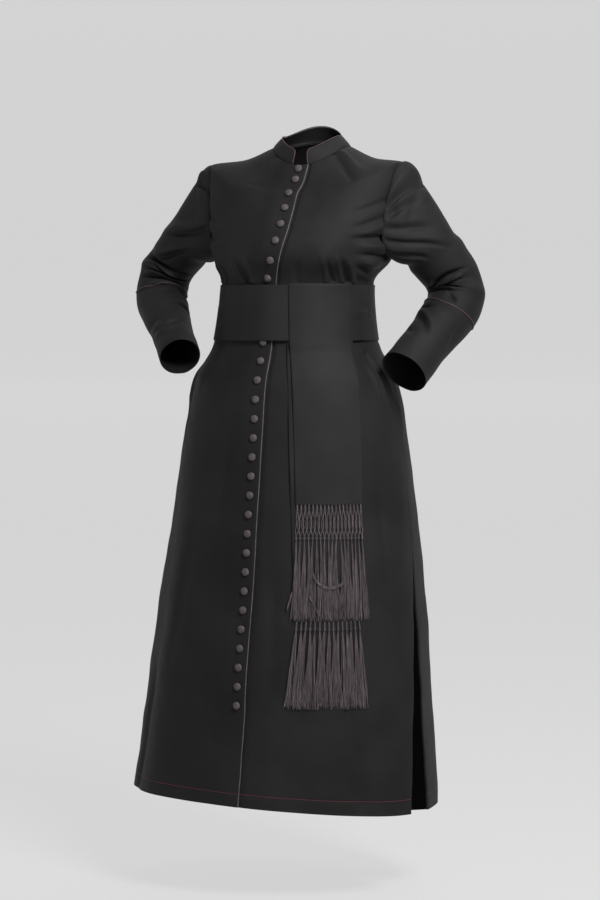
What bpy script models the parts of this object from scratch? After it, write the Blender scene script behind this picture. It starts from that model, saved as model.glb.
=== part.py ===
# A buttoned cassock with its fringed waist band, worn, hollow and open at neck, cuffs and hem.
# Metres, +Z up. The front faces -Y and +X is the wearer's left. The origin is the middle of the
# neck, at the height where the shoulder seams meet the collar.

import math
from collections import namedtuple

import bmesh
import bpy
from mathutils import Matrix, Vector

OBJECT_NAME = "cassock"

CLOTH = 0.0015                # wall of the body cloth
BAND_CLOTH = 0.0018           # wall of the doubled band and its falls
SEAM_INSET = 0.00028          # how far each panel stops short of a seam line
SLEEVE_INSET = 0.0004         # the same where the two parts of a sleeve meet
TOUCH = 0.0004                # clearance between a piece and what it lies on
LAYER = 0.0009                # clearance between curved layers, whose flat facets differ
STEP = 0.002                  # small step used to find a surface's slope
SEARCH_STEPS = 40             # halvings when the level of a height is looked for

LAP_OVER = 0.016              # the wearer's right front passes the centre line by this
LAP_UNDER = 0.012             # the wearer's left front passes it the other way
LAP_LIFT = 0.0027             # the upper front's outer face above the lower front's
LAP_RAMP = (0.055, 0.022)     # the lift grows between these distances from the centre line
PIPING_RADIUS = 0.0011

BUTTON_RADIUS = 0.0077
BUTTON_RISE = 0.0040
BUTTON_BACK = 0.0012
HOLLOW_MARGIN = 1.1           # extra clearance of a button that sits where the front curves in
CHEST_BUTTONS = [-0.048, -0.070, -0.098, -0.127, -0.159, -0.192, -0.229, -0.264]
COVERED_BUTTONS = [-0.308, -0.350]
SKIRT_BUTTON_TOP = -0.3925
SKIRT_BUTTON_PITCH = 0.0376
SKIRT_BUTTONS = 20

BAND_TOP = -0.278
BAND_BOTTOM = -0.390
BAND_LIFT = 0.0026            # outer face of the band above the body
BAND_FRONT_LIFT = 0.0038      # further rise over the lap and the fall that is tucked behind
BAND_FRONT = (-32, 84)        # degrees between which that rise fades in and out
BAND_FADE = 16
BAND_BUTTON_LIFT = 0.0050     # further rise where the band covers buttons
BAND_BUTTON_SPREAD = 0.032

COLLAR_GAP = 0.016            # half of the opening between the collar's ends
COLLAR_CORNER = 0.009         # radius of the collar's front corners
COLLAR_SEAM = 0.0010          # between the neck edge and the collar's foot
COLLAR_TALL = 0.031           # height at the front, along the cloth
COLLAR_TOP_WIDTH = 0.060      # half width of the top edge
COLLAR_TOP_FRONT = 0.067      # depth of the top edge to the front
COLLAR_TOP_BACK = 0.054
COLLAR_SIDE_Z = 0.021         # height of the top edge at the sides
COLLAR_FRONT_Z = -0.009
COLLAR_BACK_Z = 0.044
NECK_WIDTH = 0.078            # half width that turns the gap into an angle
NECK_RADIUS = 0.075           # mean radius, for lengths round the collar
COLLAR_ENDS = [0.0, 0.012, 0.03]    # shares of the way round, close together at the corners
PIPING_START = 0.10           # the collar's piping starts at this share of its height

PLEAT_TOP = -0.80             # the side pleats open from here to the hem
PLEAT_FRONT = 14.5            # degrees that the front edge swings forward at the hem
PLEAT_BACK = 1.0
PLEAT_DEPTH = 0.042
PLEAT_CLEAR = 0.0018          # from the inside of the walls, whose flat facets cut inwards
PLEAT_OVERLAP = 0.004         # the inner cloth starts this far above the opening
PLEAT_HOLD = 3.5              # degrees for one step of its profile behind each edge
PLEAT_FIRST = 0.05            # share of the depth at the top
PLEAT_GROWTH = 1.3            # how soon the full depth is reached
PLEAT_ROWS = 10
# Across the opening, 0 at the front's edge and 1 at the back's, and the share of the depth.
PLEAT_PROFILE = [(-0.9, 0.0), (-0.15, 0.0), (0.2, 0.55), (0.5, 1.0), (0.8, 0.55), (1.15, 0.0),
                 (1.9, 0.0)]

POCKET = (-0.495, -0.600)     # the side seams stand open here as pocket mouths
POCKET_LIFT = 0.0050
POCKET_REACH = 14             # degrees

ARMHOLE_STEPS = 8
ARMHOLE_FRONT = 23            # degrees that the armhole eats into each front
ARMHOLE_BACK = 21
SLEEVE_SIDES = 2 * ARMHOLE_STEPS

# The garment's cross sections from hem to neck: heights at the side, front and back, half width,
# depth to the front and to the back, sideways shift, turn in degrees, and sideways tilt.
Ring = namedtuple("Ring", "name side front back width front_depth back_depth shift turn tilt")
RINGS = [
    Ring("hem", -1.320, -1.306, -1.320, 0.314, 0.262, 0.250, -0.060, 0.0, 0.012),
    Ring("shin", -1.161, -1.158, -1.161, 0.297, 0.250, 0.238, -0.053, 0.0, 0.003),
    Ring("calf", -1.039, -1.039, -1.039, 0.285, 0.243, 0.228, -0.049, 0.0, 0.0),
    Ring("knee", -0.918, -0.918, -0.918, 0.272, 0.234, 0.218, -0.043, 0.0, 0.0),
    Ring("thigh", -0.796, -0.796, -0.796, 0.257, 0.225, 0.207, -0.039, 0.0, 0.0),
    Ring("seat", -0.613, -0.613, -0.613, 0.237, 0.208, 0.188, -0.035, 0.0, 0.0),
    Ring("hip", -0.477, -0.477, -0.477, 0.213, 0.188, 0.167, -0.034, 0.0, 0.0),
    Ring("band_bottom", -0.390, -0.390, -0.390, 0.170, 0.160, 0.125, -0.033, 0.0, 0.0),
    Ring("band_top", -0.278, -0.278, -0.278, 0.158, 0.150, 0.112, -0.029, 0.0, 0.0),
    Ring("armpit", -0.222, -0.222, -0.222, 0.186, 0.168, 0.122, -0.019, 2.0, 0.0),
    Ring("chest", -0.130, -0.160, -0.130, 0.204, 0.146, 0.120, -0.013, 4.0, 0.0),
    Ring("shoulder_tip", -0.034, -0.105, -0.065, 0.203, 0.112, 0.108, -0.012, 5.0, 0.0),
    Ring("mid_shoulder", -0.024, -0.075, -0.030, 0.138, 0.092, 0.098, -0.004, 5.0, 0.0),
    Ring("neck", 0.000, -0.040, 0.012, 0.080, 0.074, 0.066, 0.0, 5.0, 0.0),
]
LEVEL = {ring.name: index for index, ring in enumerate(RINGS)}
COLUMNS = {name: [getattr(ring, name) for ring in RINGS] for name in Ring._fields[1:]}

# Soft folds of the body: angle in degrees from the centre front, how far it drifts by its
# foot, top, foot, half width in degrees, rise, and the share of the rise kept at the foot.
Fold = namedtuple("Fold", "angle drift top foot width rise kept")
FOLDS = [
    Fold(-38, -4, -0.62, -1.33, 11, 0.006, 1.0),
    Fold(-68, -2, -0.52, -1.33, 9, 0.007, 1.0),
    Fold(8, 3, -0.80, -1.33, 9, 0.004, 1.0),
    Fold(62, 2, -0.70, -1.33, 9, 0.005, 1.0),
    Fold(112, 3, -0.55, -1.33, 10, 0.009, 1.0),
    Fold(140, 2, -0.48, -1.33, 9, 0.010, 1.0),
    Fold(166, -2, -0.60, -1.33, 8, 0.008, 1.0),
    Fold(-160, 3, -0.50, -1.33, 9, 0.010, 1.0),
    Fold(-128, -3, -0.60, -1.33, 11, 0.009, 1.0),
    Fold(-103, 0, -0.55, -1.33, 7, 0.006, 1.0),
    Fold(30, 4, -0.175, -0.277, 7, 0.004, 0.0),
    Fold(-27, -3, -0.190, -0.277, 7, 0.003, 0.0),
    Fold(50, 4, -0.160, -0.277, 7, -0.004, 0.0),
    Fold(74, -6, -0.190, -0.277, 8, 0.004, 0.0),
]

# Each sleeve runs straight from its armhole towards a corner, rounds it, and runs on to the cuff.
Sleeve = namedtuple("Sleeve", "name side corner cuff bend seam puff spring radii")
SLEEVES = [
    Sleeve("right", -1, (-0.396, 0.079, -0.270), (-0.240, -0.118, -0.423), 0.063, 0.262, 0.004,
           0.006, [0.053, 0.054, 0.053, 0.053, 0.0495, 0.0420, 0.0420]),
    Sleeve("left", 1, (0.284, 0.133, -0.291), (0.223, -0.054, -0.451), 0.062, 0.280, 0.003,
           0.011, [0.056, 0.058, 0.057, 0.057, 0.0535, 0.0480, 0.0500]),
]
SLEEVE_BLEND = 0.120          # the armhole's shape fades into a round tube over this length
HEAD_INSET = 0.0006           # the sleeve head starts this far inside the armhole's edge
HEAD_STEP = 0.0006            # and this far out from it
HEAD_LENGTH = 0.02
PUFF_LENGTH = 0.085           # the puffed head reaches this far down the sleeve
SPRING_LENGTH = 0.12          # and its swing outwards this far

# Elbow folds: place along the sleeve beside its seam, angle round it, half lengths, and rise.
ElbowFold = namedtuple("ElbowFold", "along round length spread rise")
ELBOW_FOLDS = [
    ElbowFold(-0.081, 100, 0.011, 62, -0.0055),
    ElbowFold(-0.055, 80, 0.010, 66, 0.0050),
    ElbowFold(0.013, 120, 0.013, 50, -0.0035),
    ElbowFold(-0.139, 20, 0.020, 50, 0.0040),
    ElbowFold(0.056, 160, 0.018, 60, -0.0030),
    ElbowFold(-0.064, 280, 0.014, 60, -0.0040),
]
RUNS_SEAM = 0.246             # the upper rows below are placed for a seam at this length
UPPER_RUNS = [0.0, 0.010, 0.026, 0.046, 0.070, 0.100, 0.128, 0.152, 0.172, 0.188, 0.202, 0.216,
              0.231]
LOWER_SHARES = [0.0, 0.08, 0.18, 0.32, 0.50, 0.68, 0.85, 1.0]

# The two hanging ends of the band: height, angles of both edges, and lift of the outer face.
FallRow = namedtuple("FallRow", "z near far lift")
FRONT_FALL = [
    FallRow(-0.2775, 16.0, 62.5, LAYER + BAND_CLOTH),
    FallRow(-0.335, 17.0, 62.0, LAYER + BAND_CLOTH),
    FallRow(-0.392, 18.0, 61.5, LAYER + BAND_CLOTH),
    FallRow(-0.430, 18.5, 58.5, 0.0062),
    FallRow(-0.500, 19.5, 56.5, 0.0060),
    FallRow(-0.610, 20.5, 54.8, 0.0058),
    FallRow(-0.711, 21.5, 53.5, 0.0058),
]
FALL_DROP = 0.036             # below the band, the front fall settles onto the skirt in this height
UNDER_FALL = [
    FallRow(-0.352, 15.5, 63.0, 0.0032),
    FallRow(-0.392, 16.0, 62.0, 0.0032),
    FallRow(-0.430, 16.2, 58.0, 0.0030),
    FallRow(-0.500, 17.0, 56.0, 0.0028),
    FallRow(-0.610, 18.0, 54.0, 0.0028),
    FallRow(-0.725, 19.5, 52.5, 0.0028),
    FallRow(-0.840, 21.0, 51.5, 0.0028),
    FallRow(-0.940, 22.0, 51.0, 0.0028),
]

# Rows of the knotted fringe: drop below the fall, share of its pitch that a cord fills, which
# neighbour it leans to, and by how much of the way.
FringeRow = namedtuple("FringeRow", "drop fill pairing lean")
UPPER_FRINGE_ROWS = [
    FringeRow(0.000, 0.50, 0, 0.0),
    FringeRow(0.005, 0.50, 0, 0.0),
    FringeRow(0.024, 0.46, 1, 1.0),
    FringeRow(0.043, 0.44, 0, 0.0),
    FringeRow(0.062, 0.46, 2, 1.0),
    FringeRow(0.088, 0.56, 0, 0.0),
    FringeRow(0.150, 0.72, 1, 0.25),
    FringeRow(0.224, 0.80, 2, 0.15),
]
LOWER_FRINGE_ROWS = [
    FringeRow(0.000, 0.50, 0, 0.0),
    FringeRow(0.005, 0.50, 0, 0.0),
    FringeRow(0.030, 0.52, 0, 0.0),
    FringeRow(0.095, 0.70, 1, 0.30),
    FringeRow(0.168, 0.82, 2, 0.15),
]
FRINGE_THICKNESS = 0.0024
UPPER_CORDS = 18
LOWER_CORDS = 15
UPPER_SPREAD = 1.0            # degrees that each side of the fringe spreads by its foot
LOWER_SPREAD = 3.2
CORD_GAP = 0.002              # share of the fall's width left between two leaning cords

TWILL = (0.011, 0.011, 0.012)
TRIM = (0.090, 0.078, 0.083)
FRINGE_COLOUR = (0.072, 0.062, 0.066)


def smooth_value(values, place):
    # A cubic through evenly placed values that never passes beyond its neighbours.
    last = len(values) - 1
    place = min(max(place, 0.0), float(last))
    index = min(int(place), last - 1)
    part = place - index

    def slope(at):
        if at == 0:
            return values[1] - values[0]
        if at == last:
            return values[last] - values[last - 1]
        before = values[at] - values[at - 1]
        after = values[at + 1] - values[at]
        if before * after <= 0:
            return 0.0
        return 2 * before * after / (before + after)

    start = values[index]
    change = values[index + 1] - start
    first = slope(index)
    second = slope(index + 1)
    curve = (3 * change - 2 * first - second) * part ** 2
    return start + first * part + curve + (first + second - 2 * change) * part ** 3


def ease(share):
    share = min(max(share, 0.0), 1.0)
    return share * share * (3 - 2 * share)


def level_at(z):
    # The level, counted in rings from the hem, whose side lies at height z.
    low = 0.0
    high = float(LEVEL["armpit"])
    for _ in range(SEARCH_STEPS):
        middle = (low + high) / 2
        if smooth_value(COLUMNS["side"], middle) < z:
            low = middle
        else:
            high = middle
    return (low + high) / 2


def skin(level, angle):
    ring = {name: smooth_value(values, level) for name, values in COLUMNS.items()}
    ahead = math.cos(angle)
    depth = ring["front_depth"] if ahead > 0 else ring["back_depth"]
    height = ring["front"] if ahead > 0 else ring["back"]
    flat = Vector((ring["width"] * math.sin(angle), -depth * ahead, 0))
    flat.rotate(Matrix.Rotation(math.radians(ring["turn"]), 3, "Z"))
    flat.x += ring["shift"]
    flat.z = ring["side"] + (height - ring["side"]) * ahead ** 2 - ring["tilt"] * math.sin(angle)
    return flat


def outward(level, angle):
    across = skin(level, angle + STEP) - skin(level, angle - STEP)
    up = skin(level + STEP, angle) - skin(level - STEP, angle)
    return across.cross(up).normalized()


def fold_rise(z, angle):
    total = 0.0
    for fold in FOLDS:
        share = (fold.top - z) / (fold.top - fold.foot)
        if share <= 0 or share > 1.05:
            continue
        centre = math.radians(fold.angle + fold.drift * share)
        away = (angle - centre + math.pi) % (2 * math.pi) - math.pi
        bell = math.exp(-(away / math.radians(fold.width)) ** 2)
        fade = 1 - (1 - fold.kept) * ease(2 * share - 1)
        total += fold.rise * bell * ease(2 * share) * fade
    return total


def body_point(level, angle, lift=0.0):
    point = skin(level, angle)
    return point + outward(level, angle) * (lift + fold_rise(point.z, angle))


def width_at(level):
    return smooth_value(COLUMNS["width"], level)


def make_material(name, colour, roughness):
    material = bpy.data.materials.new(name)
    material.use_nodes = True
    shader = material.node_tree.nodes["Principled BSDF"]
    shader.inputs["Base Color"].default_value = (*colour, 1)
    shader.inputs["Roughness"].default_value = roughness
    shader.inputs["Metallic"].default_value = 0
    return material


def add_object(name, data, colour, roughness):
    thing = bpy.data.objects.new(name, data)
    thing.data.materials.append(make_material(name + "_cloth", colour, roughness))
    bpy.data.collections[OBJECT_NAME].objects.link(thing)
    return thing


def add_wall(name, mesh_data, thickness, colour=TWILL, roughness=0.85):
    mesh = bpy.data.meshes.new(name)
    mesh_data.to_mesh(mesh)
    mesh_data.free()
    mesh.shade_smooth()
    wall = add_object(name, mesh, colour, roughness)
    solidify = wall.modifiers.new("thickness", "SOLIDIFY")
    solidify.thickness = thickness
    solidify.offset = -1
    return wall


def add_sheet(name, columns, rows, place, thickness, closed=False, colour=TWILL):
    # A panel of cloth: place(column, row) gives the point of its outer face.
    grid = bmesh.new()
    bmesh.ops.create_grid(grid, x_segments=columns, y_segments=rows, size=0.5)
    for vertex in grid.verts:
        column = round((vertex.co.x + 0.5) * columns)
        row = round((vertex.co.y + 0.5) * rows)
        if closed:
            column = column % columns
        vertex.co = place(column, row)
    if closed:
        bmesh.ops.remove_doubles(grid, verts=grid.verts, dist=0.00001)
    return add_wall(name, grid, thickness, colour)


def add_piping(name, points, closed):
    curve = bpy.data.curves.new(name, "CURVE")
    curve.dimensions = "3D"
    curve.bevel_depth = PIPING_RADIUS
    curve.bevel_resolution = 0
    curve.use_fill_caps = not closed
    spline = curve.splines.new("POLY")
    spline.points.add(len(points) - 1)
    for place, point in zip(spline.points, points):
        place.co = (*point, 1)
    spline.use_cyclic_u = closed
    return add_object(name, curve, TRIM, 0.6)


def pleat_share(level):
    z = smooth_value(COLUMNS["side"], level)
    return max((PLEAT_TOP - z) / (PLEAT_TOP - RINGS[0].side), 0.0)


def armhole_share(level):
    # 0 at the armpit and 1 at the shoulder tip, evenly spaced round the opening.
    height = (level - LEVEL["armpit"]) / (LEVEL["shoulder_tip"] - LEVEL["armpit"])
    height = min(max(height, 0.0), 1.0)
    return math.acos(1 - 2 * height) / math.pi


def side_angle(level, part):
    # Angle of the side edge of a front or back on the wearer's left.
    middle = math.pi / 2
    hole = math.sin(math.pi * armhole_share(level))
    pleat = pleat_share(level)
    inset = SEAM_INSET / (skin(level, middle + STEP) - skin(level, middle)).length * STEP
    if part == "front":
        return middle - inset - math.radians(ARMHOLE_FRONT * hole + PLEAT_FRONT * pleat)
    return middle + inset + math.radians(ARMHOLE_BACK * hole + PLEAT_BACK * pleat)


def panel_levels():
    levels = [step / 2 for step in range(2 * LEVEL["hip"])]
    levels += [LEVEL["hip"] + step / 3 for step in range(3 * (LEVEL["armpit"] - LEVEL["hip"]))]
    climb = LEVEL["shoulder_tip"] - LEVEL["armpit"]
    for step in range(ARMHOLE_STEPS + 1):
        levels.append(LEVEL["armpit"] + climb * (1 - math.cos(math.pi * step / ARMHOLE_STEPS)) / 2)
    levels += [LEVEL["shoulder_tip"] + 0.5, LEVEL["mid_shoulder"], LEVEL["neck"] - 0.5, LEVEL["neck"]]
    return levels


def lap_lift(level, angle):
    # The wearer's right front rises where it lies over the left one.
    away = -width_at(level) * math.sin(angle)
    return LAP_LIFT * ease((LAP_RAMP[0] - away) / (LAP_RAMP[0] - LAP_RAMP[1]))


def pocket_lift(level, angle):
    z = smooth_value(COLUMNS["side"], level)
    share = (POCKET[0] - z) / (POCKET[0] - POCKET[1])
    if share <= 0 or share >= 1:
        return 0.0
    away = 90 - abs(math.degrees(angle))
    return POCKET_LIFT * math.sin(math.pi * share) * max(1 - away / POCKET_REACH, 0.0) ** 2


def add_fronts():
    levels = panel_levels()
    columns = 10
    lap_lines = [-LAP_RAMP[0], -sum(LAP_RAMP) / 2, -LAP_RAMP[1], 0.0, LAP_OVER]
    before_lap = 8

    def right_point(column, row):
        level = levels[row]
        outer = -side_angle(level, "front")
        ramp = math.asin(lap_lines[0] / width_at(level))
        if column < before_lap:
            angle = outer + (ramp - outer) * column / before_lap
        else:
            angle = math.asin(lap_lines[column - before_lap] / width_at(level))
        return body_point(level, angle, lap_lift(level, angle) + pocket_lift(level, angle))

    def left_point(column, row):
        level = levels[row]
        inner = -math.asin(LAP_UNDER / width_at(level))
        outer = side_angle(level, "front")
        angle = inner + (outer - inner) * column / columns
        return body_point(level, angle, pocket_lift(level, angle))

    right_columns = before_lap + len(lap_lines) - 1
    add_sheet("front_right", right_columns, len(levels) - 1, right_point, CLOTH)
    add_sheet("front_left", columns, len(levels) - 1, left_point, CLOTH)


def add_backs():
    levels = panel_levels()
    columns = 9
    for name, side in (("back_right", -1), ("back_left", 1)):
        def back_point(column, row, side=side):
            level = levels[row]
            centre = math.pi - SEAM_INSET / width_at(level)
            outer = side_angle(level, "back")
            share = column / columns if side > 0 else 1 - column / columns
            return body_point(level, side * (outer + (centre - outer) * share))

        add_sheet(name, columns, len(levels) - 1, back_point, CLOTH)


def add_pleats():
    # The inner cloth of each side pleat, from behind the front's edge to behind the back's.
    top = PLEAT_TOP + PLEAT_OVERLAP
    fall = top - RINGS[0].side
    heights = [top - fall * step / PLEAT_ROWS for step in range(PLEAT_ROWS + 1)]
    levels = [level_at(z) for z in reversed(heights)]
    last = len(PLEAT_PROFILE) - 1
    inner_lift = -CLOTH - PLEAT_CLEAR
    for name, side in (("pleat_right", -1), ("pleat_left", 1)):
        def pleat_point(column, row, side=side):
            level = levels[row]
            across, sunk = PLEAT_PROFILE[column if side > 0 else last - column]
            front = side_angle(level, "front")
            back = side_angle(level, "back")
            hold = math.radians(PLEAT_HOLD)
            if across < 0:
                angle = front + across * hold
            elif across > 1:
                angle = back + (across - 1) * hold
            else:
                angle = front + (back - front) * across
            sink = PLEAT_DEPTH * sunk * ease(PLEAT_GROWTH * pleat_share(level) + PLEAT_FIRST)
            return body_point(level, side * angle, inner_lift - sink)

        add_sheet(name, last, len(levels) - 1, pleat_point, CLOTH)


def collar_point(angle, share, lift=0.0):
    # The stand collar rises from the neck seam and leans in.
    ahead = math.cos(angle)
    on_lap = ahead > 0 and math.sin(angle) < 0
    foot = body_point(LEVEL["neck"], angle, lap_lift(LEVEL["neck"], angle) if on_lap else 0.0)
    depth = COLLAR_TOP_FRONT if ahead > 0 else COLLAR_TOP_BACK
    height = COLLAR_FRONT_Z if ahead > 0 else COLLAR_BACK_Z
    flat = Vector((COLLAR_TOP_WIDTH * math.sin(angle), -depth * ahead, 0))
    flat.rotate(Matrix.Rotation(math.radians(RINGS[-1].turn), 3, "Z"))
    flat.z = COLLAR_SIDE_Z + (height - COLLAR_SIDE_Z) * ahead ** 2
    foot.z += COLLAR_SEAM
    point = foot.lerp(flat, share)
    out = Vector((point.x, point.y, 0)).normalized()
    return point + out * lift


def collar_angles(columns):
    start = math.asin(COLLAR_GAP / NECK_WIDTH)
    first = COLLAR_ENDS[-1]
    steps = columns - 2 * (len(COLLAR_ENDS) - 1)
    shares = COLLAR_ENDS + [first + (1 - 2 * first) * step / steps for step in range(1, steps)]
    shares += [1 - share for share in reversed(COLLAR_ENDS)]
    return [start + (2 * math.pi - 2 * start) * share for share in shares]


def collar_height(angle):
    # Rounded front corners: the top edge drops in an arc at each end.
    start = math.asin(COLLAR_GAP / NECK_WIDTH)
    away = min(angle - start, 2 * math.pi - start - angle) * NECK_RADIUS
    if away >= COLLAR_CORNER:
        return 1.0
    lost = COLLAR_CORNER - math.sqrt(max(COLLAR_CORNER ** 2 - (COLLAR_CORNER - away) ** 2, 0.0))
    return 1 - lost / COLLAR_TALL


def add_collar():
    columns = 26
    rows = 3
    angles = collar_angles(columns)

    def place(column, row):
        angle = angles[column]
        return collar_point(angle, collar_height(angle) * row / rows)

    add_sheet("collar", columns, rows, place, CLOTH)
    edge = PIPING_RADIUS + TOUCH
    first = collar_point(angles[0], PIPING_START)
    last = collar_point(angles[-1], PIPING_START)
    path = [first]
    for angle in angles:
        path.append(collar_point(angle, collar_height(angle)))
    path.append(last)
    moved = []
    for index, point in enumerate(path):
        before = path[max(index - 1, 0)]
        after = path[min(index + 1, len(path) - 1)]
        along = (after - before).normalized()
        inward = Vector((-point.x, -point.y, 0)).normalized()
        away = along.cross(inward).normalized()
        moved.append(point + away * edge + inward * CLOTH / 2)
    add_piping("collar_piping", moved, False)


def add_front_piping():
    points = []
    for level in panel_levels():
        angle = math.asin((LAP_OVER + PIPING_RADIUS + TOUCH) / width_at(level))
        points.append(body_point(level, angle, LAP_LIFT - CLOTH / 2))
    add_piping("front_piping", points, False)


def level_of_front(z):
    # The level whose centre front point lies at height z.
    low = 0.0
    high = float(LEVEL["neck"])
    for _ in range(SEARCH_STEPS):
        middle = (low + high) / 2
        if skin(middle, 0.0).z < z:
            low = middle
        else:
            high = middle
    return (low + high) / 2


def add_buttons():
    dome = bmesh.new()
    bmesh.ops.create_uvsphere(dome, u_segments=8, v_segments=4, radius=1)
    for vertex in dome.verts:
        height = vertex.co.z
        vertex.co.x *= BUTTON_RADIUS
        vertex.co.y *= BUTTON_RADIUS
        vertex.co.z = height * (BUTTON_RISE if height > 0 else BUTTON_BACK)
    mesh = bpy.data.meshes.new("button")
    dome.to_mesh(mesh)
    dome.free()
    mesh.shade_smooth()
    skirt = [SKIRT_BUTTON_TOP - SKIRT_BUTTON_PITCH * number for number in range(SKIRT_BUTTONS)]
    rows = panel_levels()

    def middle_point(level):
        # On the right front's own flat facets, between the two rows beside it.
        above = next(index for index in range(1, len(rows)) if rows[index] >= level)
        share = (level - rows[above - 1]) / (rows[above] - rows[above - 1])
        low = body_point(rows[above - 1], 0.0, LAP_LIFT)
        return low.lerp(body_point(rows[above], 0.0, LAP_LIFT), share)

    for number, z in enumerate(CHEST_BUTTONS + COVERED_BUTTONS + skirt):
        level = level_of_front(z)
        out = outward(level, 0.0)
        seat = middle_point(level)
        rise = 0.0
        for reach in (-BUTTON_RADIUS, BUTTON_RADIUS):
            beside = middle_point(level_of_front(z + reach))
            rise = max(rise, (beside - seat).dot(out))
        seat += out * (HOLLOW_MARGIN * rise + BUTTON_BACK + TOUCH)
        button = add_object(f"button_{number + 1:02d}", mesh.copy(), TRIM, 0.7)
        button.matrix_world = Matrix.Translation(seat) @ out.to_track_quat("Z", "Y").to_matrix().to_4x4()


def band_lift(level, angle):
    away = (angle + math.pi) % (2 * math.pi) - math.pi
    arc = away * width_at(level)
    turn = math.degrees(away)
    inside = min(turn - BAND_FRONT[0], BAND_FRONT[1] - turn) / BAND_FADE
    bump = BAND_BUTTON_LIFT * math.exp(-(arc / BAND_BUTTON_SPREAD) ** 2)
    return BAND_LIFT + BAND_FRONT_LIFT * ease(inside) + bump


def add_band():
    columns = 40
    rows = 3

    def place(column, row):
        z = BAND_BOTTOM + (BAND_TOP - BAND_BOTTOM) * row / rows
        level = level_at(z)
        angle = 2 * math.pi * column / columns
        return skin(level, angle) + outward(level, angle) * band_lift(level, angle)

    add_sheet("waist_band", columns, rows, place, BAND_CLOTH, closed=True)


def fall_values(table, z):
    for upper, lower in zip(table, table[1:]):
        if z >= lower.z or lower is table[-1]:
            share = (upper.z - z) / (upper.z - lower.z)
            mixed = [a + (b - a) * share for a, b in zip(upper, lower)]
            return FallRow(*mixed)
    return table[-1]


def fall_heights(table, inner_steps):
    heights = []
    for upper, lower in zip(table, table[1:]):
        for step in range(inner_steps):
            heights.append(upper.z + (lower.z - upper.z) * step / inner_steps)
    heights.append(table[-1].z)
    return list(reversed(heights))


def on_fall(row, z, share, above_band=False):
    level = level_at(z)
    angle = math.radians(row.near + (row.far - row.near) * share)
    on_band = ease((z - BAND_BOTTOM + FALL_DROP) / FALL_DROP) if above_band else 0.0
    return body_point(level, angle, row.lift + band_lift(level, angle) * on_band)


def add_falls():
    for name, table in (("front_fall", FRONT_FALL), ("under_fall", UNDER_FALL)):
        heights = fall_heights(table, 2)
        columns = 7

        def place(column, row, table=table, heights=heights):
            z = heights[row]
            return on_fall(fall_values(table, z), z, column / columns, table is FRONT_FALL)

        add_sheet(name, columns, len(heights) - 1, place, BAND_CLOTH)


def add_fringe(name, cords, rows, table, spread):
    # Flat cords side by side, fused along their roots: a comb cut from one sheet.
    foot = table[-1]
    columns = 2 * cords - 1
    pitch = 1 / cords
    grid = bmesh.new()
    bmesh.ops.create_grid(grid, x_segments=columns, y_segments=len(rows) - 1, size=0.5)
    gaps = []
    for face in grid.faces:
        middle = face.calc_center_median()
        column = int((middle.x + 0.5) * columns)
        from_top = int((0.5 - middle.y) * (len(rows) - 1))
        if column % 2 == 1 and from_top > 0:
            gaps.append(face)
    bmesh.ops.delete(grid, geom=gaps, context="FACES")
    total_drop = rows[-1].drop
    for vertex in grid.verts:
        line = round((vertex.co.x + 0.5) * columns)
        row = rows[round((0.5 - vertex.co.y) * (len(rows) - 1))]
        cord = line // 2
        edge = line % 2 - 0.5
        centre = (cord + 0.5) * pitch
        partner = cord + 1 if (cord + row.pairing) % 2 == 1 else cord - 1
        if row.pairing and 0 <= partner < cords:
            reach = (1 - row.fill) * pitch / 2 - CORD_GAP
            centre += math.copysign(reach * row.lean, partner - cord)
        share = centre + edge * row.fill * pitch
        z = foot.z - TOUCH - row.drop
        open_out = spread * row.drop / total_drop
        wide = FallRow(z, foot.near - open_out, foot.far + open_out, foot.lift)
        vertex.co = on_fall(wide, z, share)
    add_wall(name, grid, FRINGE_THICKNESS, FRINGE_COLOUR, 0.6)


def armhole_loop(side):
    # Points round an armhole from the shoulder tip down the front and up the back.
    levels = [level for level in panel_levels() if LEVEL["armpit"] <= level <= LEVEL["shoulder_tip"]]
    front = [body_point(level, side * side_angle(level, "front")) for level in reversed(levels)]
    back = [body_point(level, side * side_angle(level, "back")) for level in levels]
    tip = (front[0] + back[-1]) / 2
    pit = (front[-1] + back[0]) / 2
    return [tip] + front[1:-1] + [pit] + back[1:-1]


def sleeve_path(start, sleeve, run):
    # Place and direction along the sleeve's axis, a round bend between two straights.
    corner = Vector(sleeve.corner)
    cuff = Vector(sleeve.cuff)
    first = (corner - start).normalized()
    second = (cuff - corner).normalized()
    bend = first.angle(second)
    reach = sleeve.bend * math.tan(bend / 2)
    straight = (corner - start).length - reach
    arc = sleeve.bend * bend
    if run <= straight:
        return start + first * run, first
    if run >= straight + arc:
        return corner + second * (reach + run - straight - arc), second
    turned = (run - straight) / sleeve.bend
    inward = (second - first * first.dot(second)).normalized()
    origin = start + first * straight + inward * sleeve.bend
    place = origin - inward * sleeve.bend * math.cos(turned) + first * sleeve.bend * math.sin(turned)
    heading = first * math.cos(turned) + inward * math.sin(turned)
    return place, heading


def sleeve_length(start, sleeve):
    corner = Vector(sleeve.corner)
    cuff = Vector(sleeve.cuff)
    bend = (corner - start).angle(cuff - corner)
    reach = sleeve.bend * math.tan(bend / 2)
    return (corner - start).length + (cuff - corner).length - 2 * reach + sleeve.bend * bend


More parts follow.
